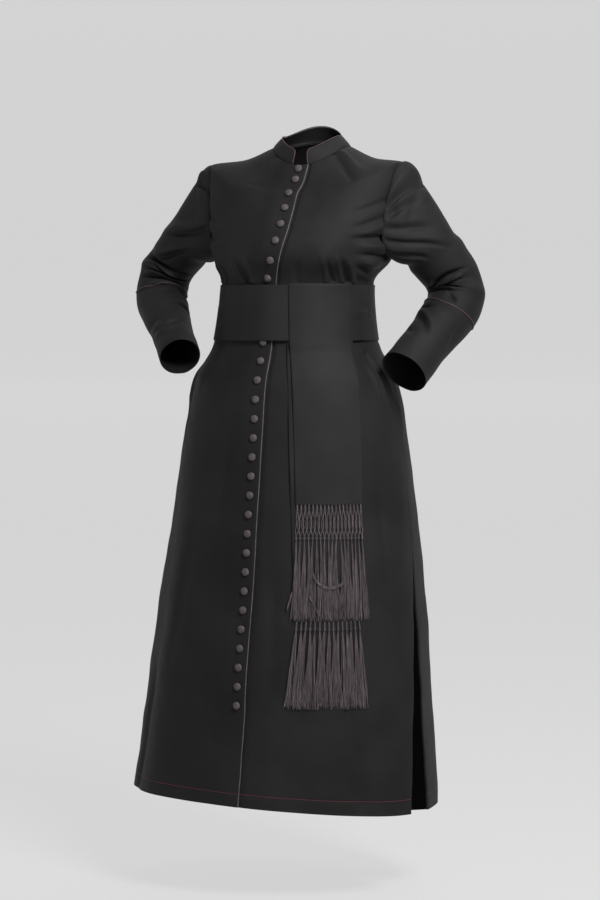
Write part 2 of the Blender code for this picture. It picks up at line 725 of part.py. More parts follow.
def sleeve_ring(loop, start, sleeve, run, upper, extra=0.0):
    # The points round the sleeve at one place along it.
    length = sleeve_length(start, sleeve)
    first = sleeve_path(start, sleeve, 0)[1]
    place, heading = sleeve_path(start, sleeve, run)
    up = (Vector((0, 0, 1)) - first * first.z).normalized()
    up.rotate(first.rotation_difference(heading))
    front = heading.cross(up) * sleeve.side
    radius = smooth_value(sleeve.radii, run / length * (len(sleeve.radii) - 1)) + extra
    blend = ease(run / SLEEVE_BLEND)
    points = []
    for index in range(SLEEVE_SIDES):
        angle = 2 * math.pi * index / SLEEVE_SIDES
        fold = 0.0
        for crease in ELBOW_FOLDS:
            along = (run - sleeve.seam - crease.along) / crease.length
            away = (math.degrees(angle) - crease.round + 180) % 360 - 180
            fold += crease.rise * math.exp(-along ** 2 - (away / crease.spread) ** 2)
        ray = up * math.cos(angle) + front * math.sin(angle)
        tube = place + ray * (radius + fold)
        head = loop[index] + (place - start)
        point = head.lerp(tube, blend)
        if upper:
            inwards = (start - loop[index]).normalized()
            point += inwards * HEAD_INSET * (1 - ease(run / HEAD_LENGTH))
            point.x += sleeve.side * HEAD_STEP * (1 - blend)
            rounding = math.sin(math.pi * min(run / PUFF_LENGTH, 1)) * max(math.cos(angle), 0.0)
            point.x += sleeve.side * sleeve.puff * rounding
            point.x += sleeve.side * sleeve.spring * math.sin(math.pi * min(run / SPRING_LENGTH, 1))
        points.append(point)
    return points


def add_sleeves():
    for sleeve in SLEEVES:
        loop = armhole_loop(sleeve.side)
        start = sum(loop, Vector()) / len(loop)
        length = sleeve_length(start, sleeve)
        upper_runs = [run * sleeve.seam / RUNS_SEAM for run in UPPER_RUNS]
        upper_runs.append(sleeve.seam)
        lower_runs = [sleeve.seam + (length - sleeve.seam) * share for share in LOWER_SHARES]
        heading = sleeve_path(start, sleeve, sleeve.seam)[1]
        for part, runs in (("upper", upper_runs), ("lower", lower_runs)):
            rings = [sleeve_ring(loop, start, sleeve, run, part == "upper") for run in runs]
            if part == "upper":
                rings[-1] = [point - heading * SLEEVE_INSET for point in rings[-1]]
            else:
                rings[0] = [point + heading * SLEEVE_INSET for point in rings[0]]

            def place(column, row, rings=rings, side=sleeve.side):
                index = -column if side > 0 else column
                return rings[len(rings) - 1 - row][index % SLEEVE_SIDES]

            name = f"sleeve_{sleeve.name}_{part}"
            add_sheet(name, SLEEVE_SIDES, len(rings) - 1, place, CLOTH, closed=True)
        cord = sleeve_ring(loop, start, sleeve, sleeve.seam, False, PIPING_RADIUS + TOUCH)
        add_piping(f"sleeve_{sleeve.name}_piping", cord, True)


def build():
    for thing in list(bpy.data.objects):
        bpy.data.objects.remove(thing)
    collection = bpy.data.collections.new(OBJECT_NAME)
    bpy.context.scene.collection.children.link(collection)
    add_fronts()
    add_backs()
    add_pleats()
    add_collar()
    add_front_piping()
    add_buttons()
    add_band()
    add_falls()
    add_fringe("upper_fringe", UPPER_CORDS, UPPER_FRINGE_ROWS, FRONT_FALL, UPPER_SPREAD)
    add_fringe("lower_fringe", LOWER_CORDS, LOWER_FRINGE_ROWS, UNDER_FALL, LOWER_SPREAD)
    add_sleeves()


build()
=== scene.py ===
import math
import random

import bmesh
import bpy
import numpy as np
from mathutils import Matrix, Vector


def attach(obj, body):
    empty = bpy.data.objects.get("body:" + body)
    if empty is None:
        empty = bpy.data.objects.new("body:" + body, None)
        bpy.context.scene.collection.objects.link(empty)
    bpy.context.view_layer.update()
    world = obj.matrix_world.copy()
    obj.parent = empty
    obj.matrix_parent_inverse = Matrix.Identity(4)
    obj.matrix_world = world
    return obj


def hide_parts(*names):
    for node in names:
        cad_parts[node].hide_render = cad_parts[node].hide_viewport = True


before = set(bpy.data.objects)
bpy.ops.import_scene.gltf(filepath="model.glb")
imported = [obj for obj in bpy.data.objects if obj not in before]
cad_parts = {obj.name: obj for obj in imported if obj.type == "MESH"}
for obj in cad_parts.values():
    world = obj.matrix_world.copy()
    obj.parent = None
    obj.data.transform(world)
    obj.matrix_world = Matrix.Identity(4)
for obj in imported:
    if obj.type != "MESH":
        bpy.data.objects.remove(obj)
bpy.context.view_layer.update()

print("frame loaded,", len(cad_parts), "nodes")

# Metres. The front faces -Y, +X is the left of whoever wears it, and the origin is at the neck.

# Camera, light and stage
cameraSet = {
    "turn": 24.0,           # degrees towards the garment's left side
    "climb": 3.0,           # degrees above the level
    "distance": 6.0,
    "aimAcross": -0.0244,
    "aimHeight": -0.613,
    "lens": 118.24,
}
stageSet = {
    "floorHeight": -1.50,
    "size": 90.0,
    "wallDistance": 40.0,
    "bend": 6.0,
    "colour": (0.10, 0.10, 0.10),
    "glow": (0.619, 0.619, 0.619),
}
lightSet = {
    "key": {
        "turn": 50, "climb": 40, "distance": 3.6, "size": 1.1, "power": 168, "colour": (1.0, 0.985, 0.97),
    },
    "fill": {
        "turn": -35, "climb": 14, "distance": 4.4, "size": 2.4, "power": 9, "colour": (0.98, 0.99, 1.0),
    },
    "top": {
        "turn": 170, "climb": 66, "distance": 3.4, "size": 2.0, "power": 30, "colour": (1.0, 1.0, 1.0),
    },
    "room": 0.13,
}


def cameraSide(turn):
    turn = math.radians(turn)
    return Vector((math.cos(turn), math.sin(turn), 0)), Vector((math.sin(turn), -math.cos(turn), 0))


def addCamera(settings):
    right, back = cameraSide(settings["turn"])
    aim = right * settings["aimAcross"] + Vector((0, 0, settings["aimHeight"]))
    place = aim + back * settings["distance"]
    place.z += settings["distance"] * math.tan(math.radians(settings["climb"]))
    data = bpy.data.cameras.new("studioCamera")
    data.sensor_width = 36
    data.lens = settings["lens"]
    camera = bpy.data.objects.new("studioCamera", data)
    bpy.context.scene.collection.objects.link(camera)
    camera.location = place
    camera.rotation_euler = (aim - place).to_track_quat("-Z", "Y").to_euler()
    bpy.context.scene.camera = camera


def addLight(name, settings):
    right, back = cameraSide(settings["turn"])
    climb = math.radians(settings["climb"])
    aim = Vector((0, 0, -0.60))
    place = aim + back * settings["distance"] * math.cos(climb)
    place.z += settings["distance"] * math.sin(climb)
    data = bpy.data.lights.new(name, "AREA")
    data.shape = "SQUARE"
    data.size = settings["size"]
    data.energy = settings["power"]
    data.color = settings["colour"]
    lamp = bpy.data.objects.new(name, data)
    bpy.context.scene.collection.objects.link(lamp)
    lamp.location = place
    lamp.rotation_euler = (aim - place).to_track_quat("-Z", "Y").to_euler()


def addStage(settings):
    # A floor that turns up into a wall behind the garment in one soft bend.
    work = bmesh.new()
    bmesh.ops.create_grid(work, x_segments=1, y_segments=150, size=0.5)
    right, back = cameraSide(cameraSet["turn"])
    for vertex in work.verts:
        run = (vertex.co.y + 0.5) * settings["size"] * 1.6 - settings["size"] * 0.6
        across = vertex.co.x * settings["size"] * 1.6
        start = settings["wallDistance"] - settings["bend"]
        turned = min(max((run - start) / settings["bend"], 0.0), math.pi / 2)
        depth = min(run, start) + settings["bend"] * math.sin(turned)
        above = max(run - start - settings["bend"] * math.pi / 2, 0)
        height = settings["bend"] * (1 - math.cos(turned)) + above
        place = right * across - back * depth
        vertex.co = (place.x, place.y, settings["floorHeight"] + height)
    mesh = bpy.data.meshes.new("studioSweep")
    work.to_mesh(mesh)
    work.free()
    mesh.shade_smooth()
    sweep = bpy.data.objects.new("studioSweep", mesh)
    bpy.context.scene.collection.objects.link(sweep)
    material = bpy.data.materials.new("studioPaper")
    material.use_nodes = True
    shader = material.node_tree.nodes["Principled BSDF"]
    shader.inputs["Base Color"].default_value = (*settings["colour"], 1)
    shader.inputs["Roughness"].default_value = 0.95
    shader.inputs["Specular IOR Level"].default_value = 0.1
    shader.inputs["Emission Color"].default_value = (*settings["glow"], 1)
    shader.inputs["Emission Strength"].default_value = 1.0
    mesh.materials.append(material)


addCamera(cameraSet)
addStage(stageSet)
for lampName in ("key", "fill", "top"):
    addLight(lampName + "Light", lightSet[lampName])
world = bpy.data.worlds.new("studioRoom")
world.use_nodes = True
world.node_tree.nodes["Background"].inputs["Color"].default_value = (1, 1, 1, 1)
world.node_tree.nodes["Background"].inputs["Strength"].default_value = lightSet["room"]
bpy.context.scene.world = world
bpy.context.scene.view_settings.view_transform = "Standard"
print("camera, light and stage set")


# Cloths and threads
def startMaterial(name):
    material = bpy.data.materials.new(name)
    material.use_nodes = True
    return material, material.node_tree.nodes, material.node_tree.links


def addNode(nodes, kind, **values):
    node = nodes.new(kind)
    for key, value in values.items():
        if key in node.inputs:
            node.inputs[key].default_value = value
        else:
            setattr(node, key, value)
    return node


def wovenCloth(name, look):
    # Twill or rib on the piece's own weave map, in metres, with yarn fuzz and a slow shade.
    material, nodes, links = startMaterial(name)
    shader = nodes["Principled BSDF"]
    weave = addNode(nodes, "ShaderNodeUVMap", uv_map="weave")
    turned = addNode(nodes, "ShaderNodeMapping")
    turned.inputs["Rotation"].default_value = (0, 0, math.radians(look["slant"]))
    rib = addNode(nodes, "ShaderNodeTexWave", Scale=0.314 / look["pitch"], Distortion=0.6, Detail=1.0)
    rib.inputs["Detail Scale"].default_value = 0.6
    yarn = addNode(nodes, "ShaderNodeTexWave", Scale=0.314 / look["yarn"], Distortion=0.4, Detail=1.0)
    yarn.bands_direction = "Y"
    place = addNode(nodes, "ShaderNodeTexCoord")
    fuzz = addNode(nodes, "ShaderNodeTexNoise", Scale=1400.0, Detail=3.0)
    shade = addNode(nodes, "ShaderNodeTexNoise", Scale=look["shadeScale"], Detail=2.0)
    links.new(weave.outputs["UV"], turned.inputs["Vector"])
    links.new(turned.outputs["Vector"], rib.inputs["Vector"])
    links.new(weave.outputs["UV"], yarn.inputs["Vector"])
    links.new(place.outputs["Object"], fuzz.inputs["Vector"])
    links.new(place.outputs["Object"], shade.inputs["Vector"])
    mixRib = addNode(nodes, "ShaderNodeMix", data_type="RGBA")
    mixRib.inputs["A"].default_value = (*look["dark"], 1)
    mixRib.inputs["B"].default_value = (*look["light"], 1)
    links.new(rib.outputs["Fac"], mixRib.inputs["Factor"])
    spread = addNode(nodes, "ShaderNodeMapRange")
    spread.inputs["From Min"].default_value = 0.3
    spread.inputs["From Max"].default_value = 0.7
    spread.inputs["To Min"].default_value = 1 - look["shade"]
    spread.inputs["To Max"].default_value = 1 + look["shade"]
    links.new(shade.outputs["Fac"], spread.inputs["Value"])
    tone = addNode(nodes, "ShaderNodeVectorMath", operation="SCALE")
    links.new(mixRib.outputs["Result"], tone.inputs[0])
    links.new(spread.outputs["Result"], tone.inputs["Scale"])
    links.new(tone.outputs["Vector"], shader.inputs["Base Color"])
    height = addNode(nodes, "ShaderNodeMath", operation="MULTIPLY_ADD")
    height.inputs[1].default_value = 0.45
    links.new(yarn.outputs["Fac"], height.inputs[0])
    links.new(rib.outputs["Fac"], height.inputs[2])
    fuzzy = addNode(nodes, "ShaderNodeMath", operation="MULTIPLY_ADD")
    fuzzy.inputs[1].default_value = 0.5
    links.new(fuzz.outputs["Fac"], fuzzy.inputs[0])
    links.new(height.outputs["Value"], fuzzy.inputs[2])
    bump = addNode(nodes, "ShaderNodeBump", Strength=look["bump"], Distance=0.00025)
    links.new(fuzzy.outputs["Value"], bump.inputs["Height"])
    links.new(bump.outputs["Normal"], shader.inputs["Normal"])
    matt = addNode(nodes, "ShaderNodeMapRange")
    matt.inputs["To Min"].default_value = look["roughness"] - 0.06
    matt.inputs["To Max"].default_value = look["roughness"] + 0.06
    links.new(fuzz.outputs["Fac"], matt.inputs["Value"])
    links.new(matt.outputs["Result"], shader.inputs["Roughness"])
    shader.inputs["Sheen Weight"].default_value = look["sheen"]
    shader.inputs["Sheen Roughness"].default_value = 0.45
    shader.inputs["Sheen Tint"].default_value = (*look["sheenColour"], 1)
    shader.inputs["Specular IOR Level"].default_value = look["specular"]
    return material


def spunThread(name, look):
    # Threads, cords and covered buttons, whose pattern follows the place on the garment.
    material, nodes, links = startMaterial(name)
    shader = nodes["Principled BSDF"]
    place = addNode(nodes, "ShaderNodeTexCoord")
    stretched = addNode(nodes, "ShaderNodeMapping")
    stretched.inputs["Scale"].default_value = look["stretch"]
    fibre = addNode(nodes, "ShaderNodeTexNoise", Scale=look["fibre"], Detail=4.0, Roughness=0.6)
    shade = addNode(nodes, "ShaderNodeTexNoise", Scale=look["shadeScale"], Detail=2.0)
    links.new(place.outputs["Object"], stretched.inputs["Vector"])
    links.new(stretched.outputs["Vector"], fibre.inputs["Vector"])
    links.new(stretched.outputs["Vector"], shade.inputs["Vector"])
    mixed = addNode(nodes, "ShaderNodeMath", operation="MULTIPLY_ADD")
    mixed.inputs[1].default_value = 0.6
    links.new(fibre.outputs["Fac"], mixed.inputs[0])
    links.new(shade.outputs["Fac"], mixed.inputs[2])
    ramp = addNode(nodes, "ShaderNodeMapRange")
    ramp.inputs["From Min"].default_value = 0.55
    ramp.inputs["From Max"].default_value = 1.05
    links.new(mixed.outputs["Value"], ramp.inputs["Value"])
    colour = addNode(nodes, "ShaderNodeMix", data_type="RGBA")
    colour.inputs["A"].default_value = (*look["dark"], 1)
    colour.inputs["B"].default_value = (*look["light"], 1)
    links.new(ramp.outputs["Result"], colour.inputs["Factor"])
    links.new(colour.outputs["Result"], shader.inputs["Base Color"])
    bump = addNode(nodes, "ShaderNodeBump", Strength=look["bump"], Distance=0.0003)
    links.new(fibre.outputs["Fac"], bump.inputs["Height"])
    links.new(bump.outputs["Normal"], shader.inputs["Normal"])
    shader.inputs["Roughness"].default_value = look["roughness"]
    shader.inputs["Sheen Weight"].default_value = look["sheen"]
    shader.inputs["Sheen Roughness"].default_value = 0.35
    shader.inputs["Sheen Tint"].default_value = (*look["sheenColour"], 1)
    shader.inputs["Specular IOR Level"].default_value = look["specular"]
    return material


clothLooks = {
    "blackTwill": {
        "dark": (0.0068, 0.0067, 0.0068), "light": (0.0150, 0.0147, 0.0148), "pitch": 0.0011, "yarn": 0.0007,
        "slant": 27, "shade": 0.24, "shadeScale": 9.0, "bump": 0.30, "roughness": 0.66, "sheen": 0.02,
        "sheenColour": (0.62, 0.62, 0.64), "specular": 0.15,
    },
    "bandTwill": {
        "dark": (0.0078, 0.0077, 0.0078), "light": (0.0165, 0.0162, 0.0163), "pitch": 0.0009, "yarn": 0.0006,
        "slant": 90, "shade": 0.18, "shadeScale": 11.0, "bump": 0.24, "roughness": 0.64, "sheen": 0.02,
        "sheenColour": (0.62, 0.62, 0.64), "specular": 0.16,
    },
    "lining": {
        "dark": (0.0045, 0.0045, 0.0048), "light": (0.0070, 0.0070, 0.0074), "pitch": 0.0006, "yarn": 0.0005,
        "slant": 27, "shade": 0.05, "shadeScale": 5.0, "bump": 0.10, "roughness": 0.55, "sheen": 0.02,
        "sheenColour": (0.5, 0.5, 0.5), "specular": 0.30,
    },
    # The pleats' inner cloth: painted shade, far darker and duller than real black cloth, so the pleats read
    # as deep shadow.
    "pleatPaintedShade": {
        "dark": (0.0008, 0.0008, 0.0009), "light": (0.0014, 0.0014, 0.0015), "pitch": 0.0006, "yarn": 0.0005,
        "slant": 27, "shade": 0.05, "shadeScale": 5.0, "bump": 0.10, "roughness": 0.80, "sheen": 0.0,
        "sheenColour": (0.5, 0.5, 0.5), "specular": 0.03,
    },
}
threadLooks = {
    "buttonCloth": {
        "dark": (0.040, 0.032, 0.035), "light": (0.082, 0.069, 0.074), "stretch": (1, 1, 1), "fibre": 1300.0,
        "shadeScale": 160.0, "bump": 0.5, "roughness": 0.66, "sheen": 0.20, "sheenColour": (0.8, 0.76, 0.78),
        "specular": 0.35,
    },
    "piping": {
        "dark": (0.060, 0.050, 0.054), "light": (0.115, 0.098, 0.105), "stretch": (1, 1, 1), "fibre": 900.0,
        "shadeScale": 60.0, "bump": 0.4, "roughness": 0.60, "sheen": 0.20, "sheenColour": (0.8, 0.76, 0.78),
        "specular": 0.40,
    },
    "winePiping": {
        "dark": (0.040, 0.020, 0.025), "light": (0.080, 0.042, 0.052), "stretch": (1, 1, 1), "fibre": 900.0,
        "shadeScale": 60.0, "bump": 0.4, "roughness": 0.60, "sheen": 0.15, "sheenColour": (0.8, 0.66, 0.70),
        "specular": 0.40,
    },
    "wineThread": {
        "dark": (0.095, 0.014, 0.023), "light": (0.160, 0.028, 0.046), "stretch": (1, 1, 1), "fibre": 1500.0,
        "shadeScale": 200.0, "bump": 0.3, "roughness": 0.60, "sheen": 0.10, "sheenColour": (0.8, 0.6, 0.65),
        "specular": 0.40,
    },
    "darkThread": {
        "dark": (0.006, 0.006, 0.006), "light": (0.014, 0.013, 0.014), "stretch": (1, 1, 1), "fibre": 1500.0,
        "shadeScale": 200.0, "bump": 0.3, "roughness": 0.70, "sheen": 0.05, "sheenColour": (0.6, 0.6, 0.6),
        "specular": 0.30,
    },
    "fringeThread": {
        "dark": (0.018, 0.0135, 0.016), "light": (0.098, 0.077, 0.086), "stretch": (1, 1, 0.10),
        "fibre": 700.0, "shadeScale": 330.0, "bump": 0.35, "roughness": 0.52, "sheen": 0.25,
        "sheenColour": (0.82, 0.78, 0.80), "specular": 0.45,
    },
}
cloths = {name: wovenCloth(name, look) for name, look in clothLooks.items()}
threads = {name: spunThread(name, look) for name, look in threadLooks.items()}
print("cloths and threads mixed")


# The body's shape, hem to neck
bodyRings = [
    # name, height at side, front and back, half width, depth to front and back, shift, turn, tilt
    ("hem", -1.320, -1.306, -1.320, 0.314, 0.262, 0.250, -0.060, 0.0, 0.012),
    ("shin", -1.161, -1.158, -1.161, 0.297, 0.250, 0.238, -0.053, 0.0, 0.003),
    ("calf", -1.039, -1.039, -1.039, 0.285, 0.243, 0.228, -0.049, 0.0, 0.0),
    ("knee", -0.918, -0.918, -0.918, 0.272, 0.234, 0.218, -0.043, 0.0, 0.0),
    ("thigh", -0.796, -0.796, -0.796, 0.257, 0.225, 0.207, -0.039, 0.0, 0.0),
    ("seat", -0.613, -0.613, -0.613, 0.237, 0.208, 0.188, -0.035, 0.0, 0.0),
    ("hip", -0.477, -0.477, -0.477, 0.213, 0.188, 0.167, -0.034, 0.0, 0.0),
    ("bandBottom", -0.390, -0.390, -0.390, 0.170, 0.160, 0.125, -0.033, 0.0, 0.0),
    ("bandTop", -0.278, -0.278, -0.278, 0.158, 0.150, 0.112, -0.029, 0.0, 0.0),
    ("armpit", -0.222, -0.222, -0.222, 0.186, 0.168, 0.122, -0.019, 2.0, 0.0),
    ("chest", -0.130, -0.160, -0.130, 0.204, 0.146, 0.120, -0.013, 4.0, 0.0),
    ("shoulderTip", -0.034, -0.105, -0.065, 0.203, 0.112, 0.108, -0.012, 5.0, 0.0),
    ("midShoulder", -0.024, -0.075, -0.030, 0.138, 0.092, 0.098, -0.004, 5.0, 0.0),
    ("neck", 0.000, -0.040, 0.012, 0.080, 0.074, 0.066, 0.0, 5.0, 0.0),
]
ringLevel = {ring[0]: index for index, ring in enumerate(bodyRings)}
ringValues = np.array([ring[1:] for ring in bodyRings])
bodyFolds = [
    # degrees from the centre front, drift by its foot, top, foot, half width, rise, share kept at the foot
    (-38, -4, -0.62, -1.33, 11, 0.006, 1), (-68, -2, -0.52, -1.33, 9, 0.007, 1),
    (8, 3, -0.80, -1.33, 9, 0.004, 1), (62, 2, -0.70, -1.33, 9, 0.005, 1),
    (112, 3, -0.55, -1.33, 10, 0.009, 1), (140, 2, -0.48, -1.33, 9, 0.010, 1),
    (166, -2, -0.60, -1.33, 8, 0.008, 1), (-160, 3, -0.50, -1.33, 9, 0.010, 1),
    (-128, -3, -0.60, -1.33, 11, 0.009, 1), (-103, 0, -0.55, -1.33, 7, 0.006, 1),
    (30, 4, -0.175, -0.277, 7, 0.004, 0), (-27, -3, -0.190, -0.277, 7, 0.003, 0),
    (50, 4, -0.160, -0.277, 7, -0.004, 0), (74, -6, -0.190, -0.277, 8, 0.004, 0),
]
bodySet = {
    "cloth": 0.0015, "seam": 0.0001, "lapOver": 0.016, "lapUnder": 0.012, "lapLift": 0.0027,
    "lapRamp": (0.055, 0.022), "pleatTop": -0.80, "pleatFront": 14.5, "pleatBack": 1.0, "pleatDepth": 0.056,
    "pocket": (-0.495, -0.600), "pocketLift": 0.0050, "pocketReach": 14,
    "armholeFront": 23, "armholeBack": 21, "hemStitch": 0.028, "creaseDepth": 1.95,
}
# Creases of the body: points in degrees and ring levels, half width, rise, lean to
# one side, and which end stays deep ("start", "end", "both" or "").
bodyCreases = [
    ([(50, 12.9), (46, 12.3), (40, 11.5), (34, 10.9)], 0.0070, -0.0026, 0.3, "start"),
    ([(62, 12.8), (58, 12.2), (50, 11.5)], 0.0080, 0.0018, -0.2, "start"),
    ([(-46, 12.9), (-40, 12.2), (-33, 11.4)], 0.0080, -0.0016, -0.3, "start"),
    ([(70, 10.25), (52, 10.20), (36, 10.12)], 0.0060, -0.0016, 0.3, "start"),
    ([(70, 9.95), (54, 9.82), (38, 9.76)], 0.0060, -0.0018, 0.3, "start"),
    ([(72, 9.75), (58, 9.60), (44, 9.55)], 0.0070, 0.0020, 0.2, "start"),
    ([(80, 9.45), (60, 9.48), (40, 9.50)], 0.0058, -0.0040, 0.4, "start"),
    ([(86, 9.20), (68, 9.28), (48, 9.28)], 0.0070, 0.0036, 0.2, "start"),
    ([(86, 9.02), (66, 9.06), (50, 9.02)], 0.0055, -0.0042, 0.3, "start"),
    ([(-68, 9.95), (-54, 9.86), (-42, 9.85)], 0.0060, -0.0016, 0.3, "start"),
    ([(-72, 9.55), (-58, 9.46), (-40, 9.50)], 0.0070, -0.0024, 0.3, "start"),
    ([(-80, 9.30), (-64, 9.25), (-48, 9.30)], 0.0070, 0.0018, 0.2, "start"),
    ([(29, 9.08), (36, 8.66), (43, 8.06)], 0.0042, 0.0024, 0.4, "end"),
    ([(33, 9.00), (40, 8.60), (49, 8.06)], 0.0050, -0.0030, -0.3, "end"),
    ([(38, 9.10), (45, 8.72), (56, 8.06)], 0.0042, 0.0027, 0.4, "end"),
    ([(43, 9.02), (50, 8.62), (61, 8.06)], 0.0050, -0.0030, -0.3, "end"),
    ([(46, 9.06), (53, 8.74), (66, 8.06)], 0.0046, 0.0026, 0.4, "end"),
    ([(57, 8.66), (68, 8.56), (82, 8.46)], 0.0060, -0.0046, 0.3, ""),
    ([(60, 8.84), (74, 8.76), (90, 8.70)], 0.0080, 0.0030, 0.0, ""),
    ([(64, 8.38), (76, 8.28), (88, 8.16)], 0.0050, 0.0022, 0.2, "end"),
    ([(-25, 9.06), (-20, 8.72), (-13, 8.06)], 0.0046, 0.0020, 0.4, "end"),
    ([(-29, 9.00), (-24, 8.66), (-18, 8.06)], 0.0050, -0.0022, -0.3, "end"),
    ([(-34, 8.94), (-28, 8.56), (-23, 8.06)], 0.0046, 0.0018, 0.4, "end"),
    ([(-50, 8.80), (-46, 8.42), (-44, 8.06)], 0.0060, -0.0022, 0.2, "end"),
    ([(-66, 8.90), (-60, 8.46), (-56, 8.06)], 0.0060, 0.0022, 0.3, "end"),
    ([(-84, 8.74), (-78, 8.40), (-74, 8.06)], 0.0060, -0.0024, 0.3, "end"),
    ([(15, 8.96), (18, 8.55), (21, 8.06)], 0.0060, -0.0012, 0.3, "end"),
    # below the band
    ([(-66, 6.82), (-65, 6.19), (-60, 5.40), (-60, 4.90)], 0.0052, -0.0050, 0.3, "start"),
    ([(-72, 6.60), (-71, 6.10), (-67, 5.40)], 0.0080, 0.0030, -0.2, ""),
    ([(74, 6.70), (78, 6.25), (81, 5.80), (84, 5.30)], 0.0060, -0.0040, 0.3, "start"),
    ([(68, 6.60), (71, 6.10), (75, 5.60)], 0.0080, 0.0026, 0.3, ""),
    ([(-40, 6.86), (-42, 6.40), (-45, 5.70)], 0.0090, -0.0012, 0.2, "start"),
    ([(-14, 5.90), (-16, 4.60), (-19, 3.20)], 0.0160, -0.0016, 0.0, ""),
    ([(-30, 4.60), (-36, 3.00), (-38, 1.40)], 0.0150, -0.0020, 0.0, ""),
    ([(12, 4.00), (13, 2.60), (14, 1.20)], 0.0140, -0.0018, 0.0, ""),
    ([(64, 5.20), (66, 3.80), (68, 2.40)], 0.0150, -0.0022, 0.0, ""),
    ([(44, 1.90), (46, 1.00), (50, 0.15)], 0.0160, -0.0022, 0.0, "end"),
    ([(-52, 2.40), (-56, 1.20), (-58, 0.10)], 0.0170, -0.0026, 0.0, "end"),
    # the back, plain in kind with the front
    ([(180, 11.4), (166, 11.2), (150, 11.3)], 0.0110, -0.0018, 0.0, ""),
    ([(-176, 11.2), (-162, 11.0), (-148, 11.1)], 0.0110, -0.0016, 0.0, ""),
    ([(100, 9.50), (120, 9.60), (142, 9.90)], 0.0080, -0.0026, 0.3, "start"),
    ([(98, 9.20), (118, 9.20), (138, 9.36)], 0.0090, 0.0022, 0.2, "start"),
    ([(-100, 9.50), (-118, 9.62), (-138, 9.92)], 0.0080, -0.0024, 0.3, "start"),
    ([(-98, 9.16), (-116, 9.20), (-134, 9.30)], 0.0090, 0.0020, 0.2, "start"),
    ([(108, 8.96), (112, 8.50), (114, 8.06)], 0.0060, -0.0028, 0.3, "end"),
    ([(126, 9.04), (130, 8.56), (134, 8.06)], 0.0060, 0.0026, 0.3, "end"),
    ([(146, 9.10), (148, 8.60), (150, 8.06)], 0.0060, -0.0028, -0.3, "end"),
    ([(163, 8.90), (165, 8.50), (168, 8.06)], 0.0060, 0.0024, 0.3, "end"),
    ([(-171, 9.02), (-169, 8.56), (-170, 8.06)], 0.0060, -0.0024, 0.3, "end"),
    ([(-152, 9.10), (-150, 8.60), (-148, 8.06)], 0.0060, 0.0026, -0.3, "end"),
    ([(-133, 8.90), (-131, 8.50), (-130, 8.06)], 0.0060, -0.0028, 0.3, "end"),
    ([(-112, 9.00), (-110, 8.56), (-106, 8.06)], 0.0060, 0.0026, 0.3, "end"),
    ([(124, 6.86), (125, 6.20), (127, 5.30)], 0.0100, -0.0034, 0.2, "start"),
    ([(152, 6.86), (153, 6.10), (153, 5.10)], 0.0110, -0.0034, 0.2, "start"),
    ([(-172, 6.86), (-172, 6.20), (-172, 5.40)], 0.0100, -0.0030, 0.2, "start"),
    ([(-144, 6.86), (-144, 6.10), (-143, 5.10)], 0.0110, -0.0034, 0.2, "start"),
    ([(-112, 6.80), (-114, 6.10), (-116, 5.20)], 0.0100, -0.0030, 0.2, "start"),
]
bandCreases = [
    ([(64, 7.26), (72, 7.40), (84, 7.46)], 0.0050, -0.0016, 0.3, "end"),
    ([(67, 7.62), (77, 7.56), (92, 7.48)], 0.0060, -0.0018, 0.3, "end"),
    ([(66, 7.46), (75, 7.49), (88, 7.55)], 0.0050, 0.0012, 0.0, "end"),
    ([(-62, 7.30), (-50, 7.36), (-34, 7.34)], 0.0080, -0.0010, 0.3, ""),
    ([(-74, 7.66), (-56, 7.60), (-38, 7.66)], 0.0080, -0.0009, 0.3, ""),
    ([(-30, 7.55), (-14, 7.48), (4, 7.52)], 0.0090, -0.0006, 0.3, ""),
    ([(104, 7.30), (122, 7.42), (140, 7.40)], 0.0070, -0.0014, 0.3, ""),
    ([(112, 7.70), (134, 7.62), (156, 7.70)], 0.0070, -0.0012, 0.3, ""),
    ([(-108, 7.32), (-128, 7.44), (-150, 7.40)], 0.0070, -0.0013, 0.3, ""),
    ([(-120, 7.72), (-142, 7.64), (-168, 7.70)], 0.0070, -0.0012, 0.3, ""),
    ([(-88, 7.36), (-98, 7.54), (-104, 7.66)], 0.0060, -0.0012, 0.2, ""),
]


def ease(share):
    share = np.clip(share, 0, 1)
    return share * share * (3 - 2 * share)


def steadyCurve(values, place):
    # A cubic through evenly spaced rows of values that never swings past its neighbours.
    step = np.diff(values, axis=0)
    slope = np.zeros_like(values)
    slope[0] = step[0]
    slope[-1] = step[-1]
    product = step[:-1] * step[1:]
    both = np.where(product > 0, step[:-1] + step[1:], 1)
    slope[1:-1] = np.where(product > 0, 2 * product / both, 0)
    place = np.clip(place, 0, len(values) - 1)
    index = np.minimum(place.astype(int), len(values) - 2)
    part = (place - index)[:, None]
    start, change = values[index], step[index]
    first, second = slope[index], slope[index + 1]
    curve = (3 * change - 2 * first - second) * part ** 2
    return start + first * part + curve + (first + second - 2 * change) * part ** 3


def ringAt(level):
    return steadyCurve(ringValues, level).T


def skin(level, angle):
    side, front, back, width, frontDepth, backDepth, shift, turn, tilt = ringAt(level)
    ahead, across = np.cos(angle), np.sin(angle)
    depth = np.where(ahead > 0, frontDepth, backDepth)
    height = np.where(ahead > 0, front, back)
    turn = np.radians(turn)
    x, y = width * across, -depth * ahead
    z = side + (height - side) * ahead ** 2 - tilt * across
    return np.stack([x * np.cos(turn) - y * np.sin(turn) + shift, x * np.sin(turn) + y * np.cos(turn), z], 1)


def unit(vectors):
    return vectors / np.linalg.norm(vectors, axis=1)[:, None]


def outward(level, angle):
    step = 0.002
    across = skin(level, angle + step) - skin(level, angle - step)
    up = skin(level + step, angle) - skin(level - step, angle)
    return unit(np.cross(across, up))


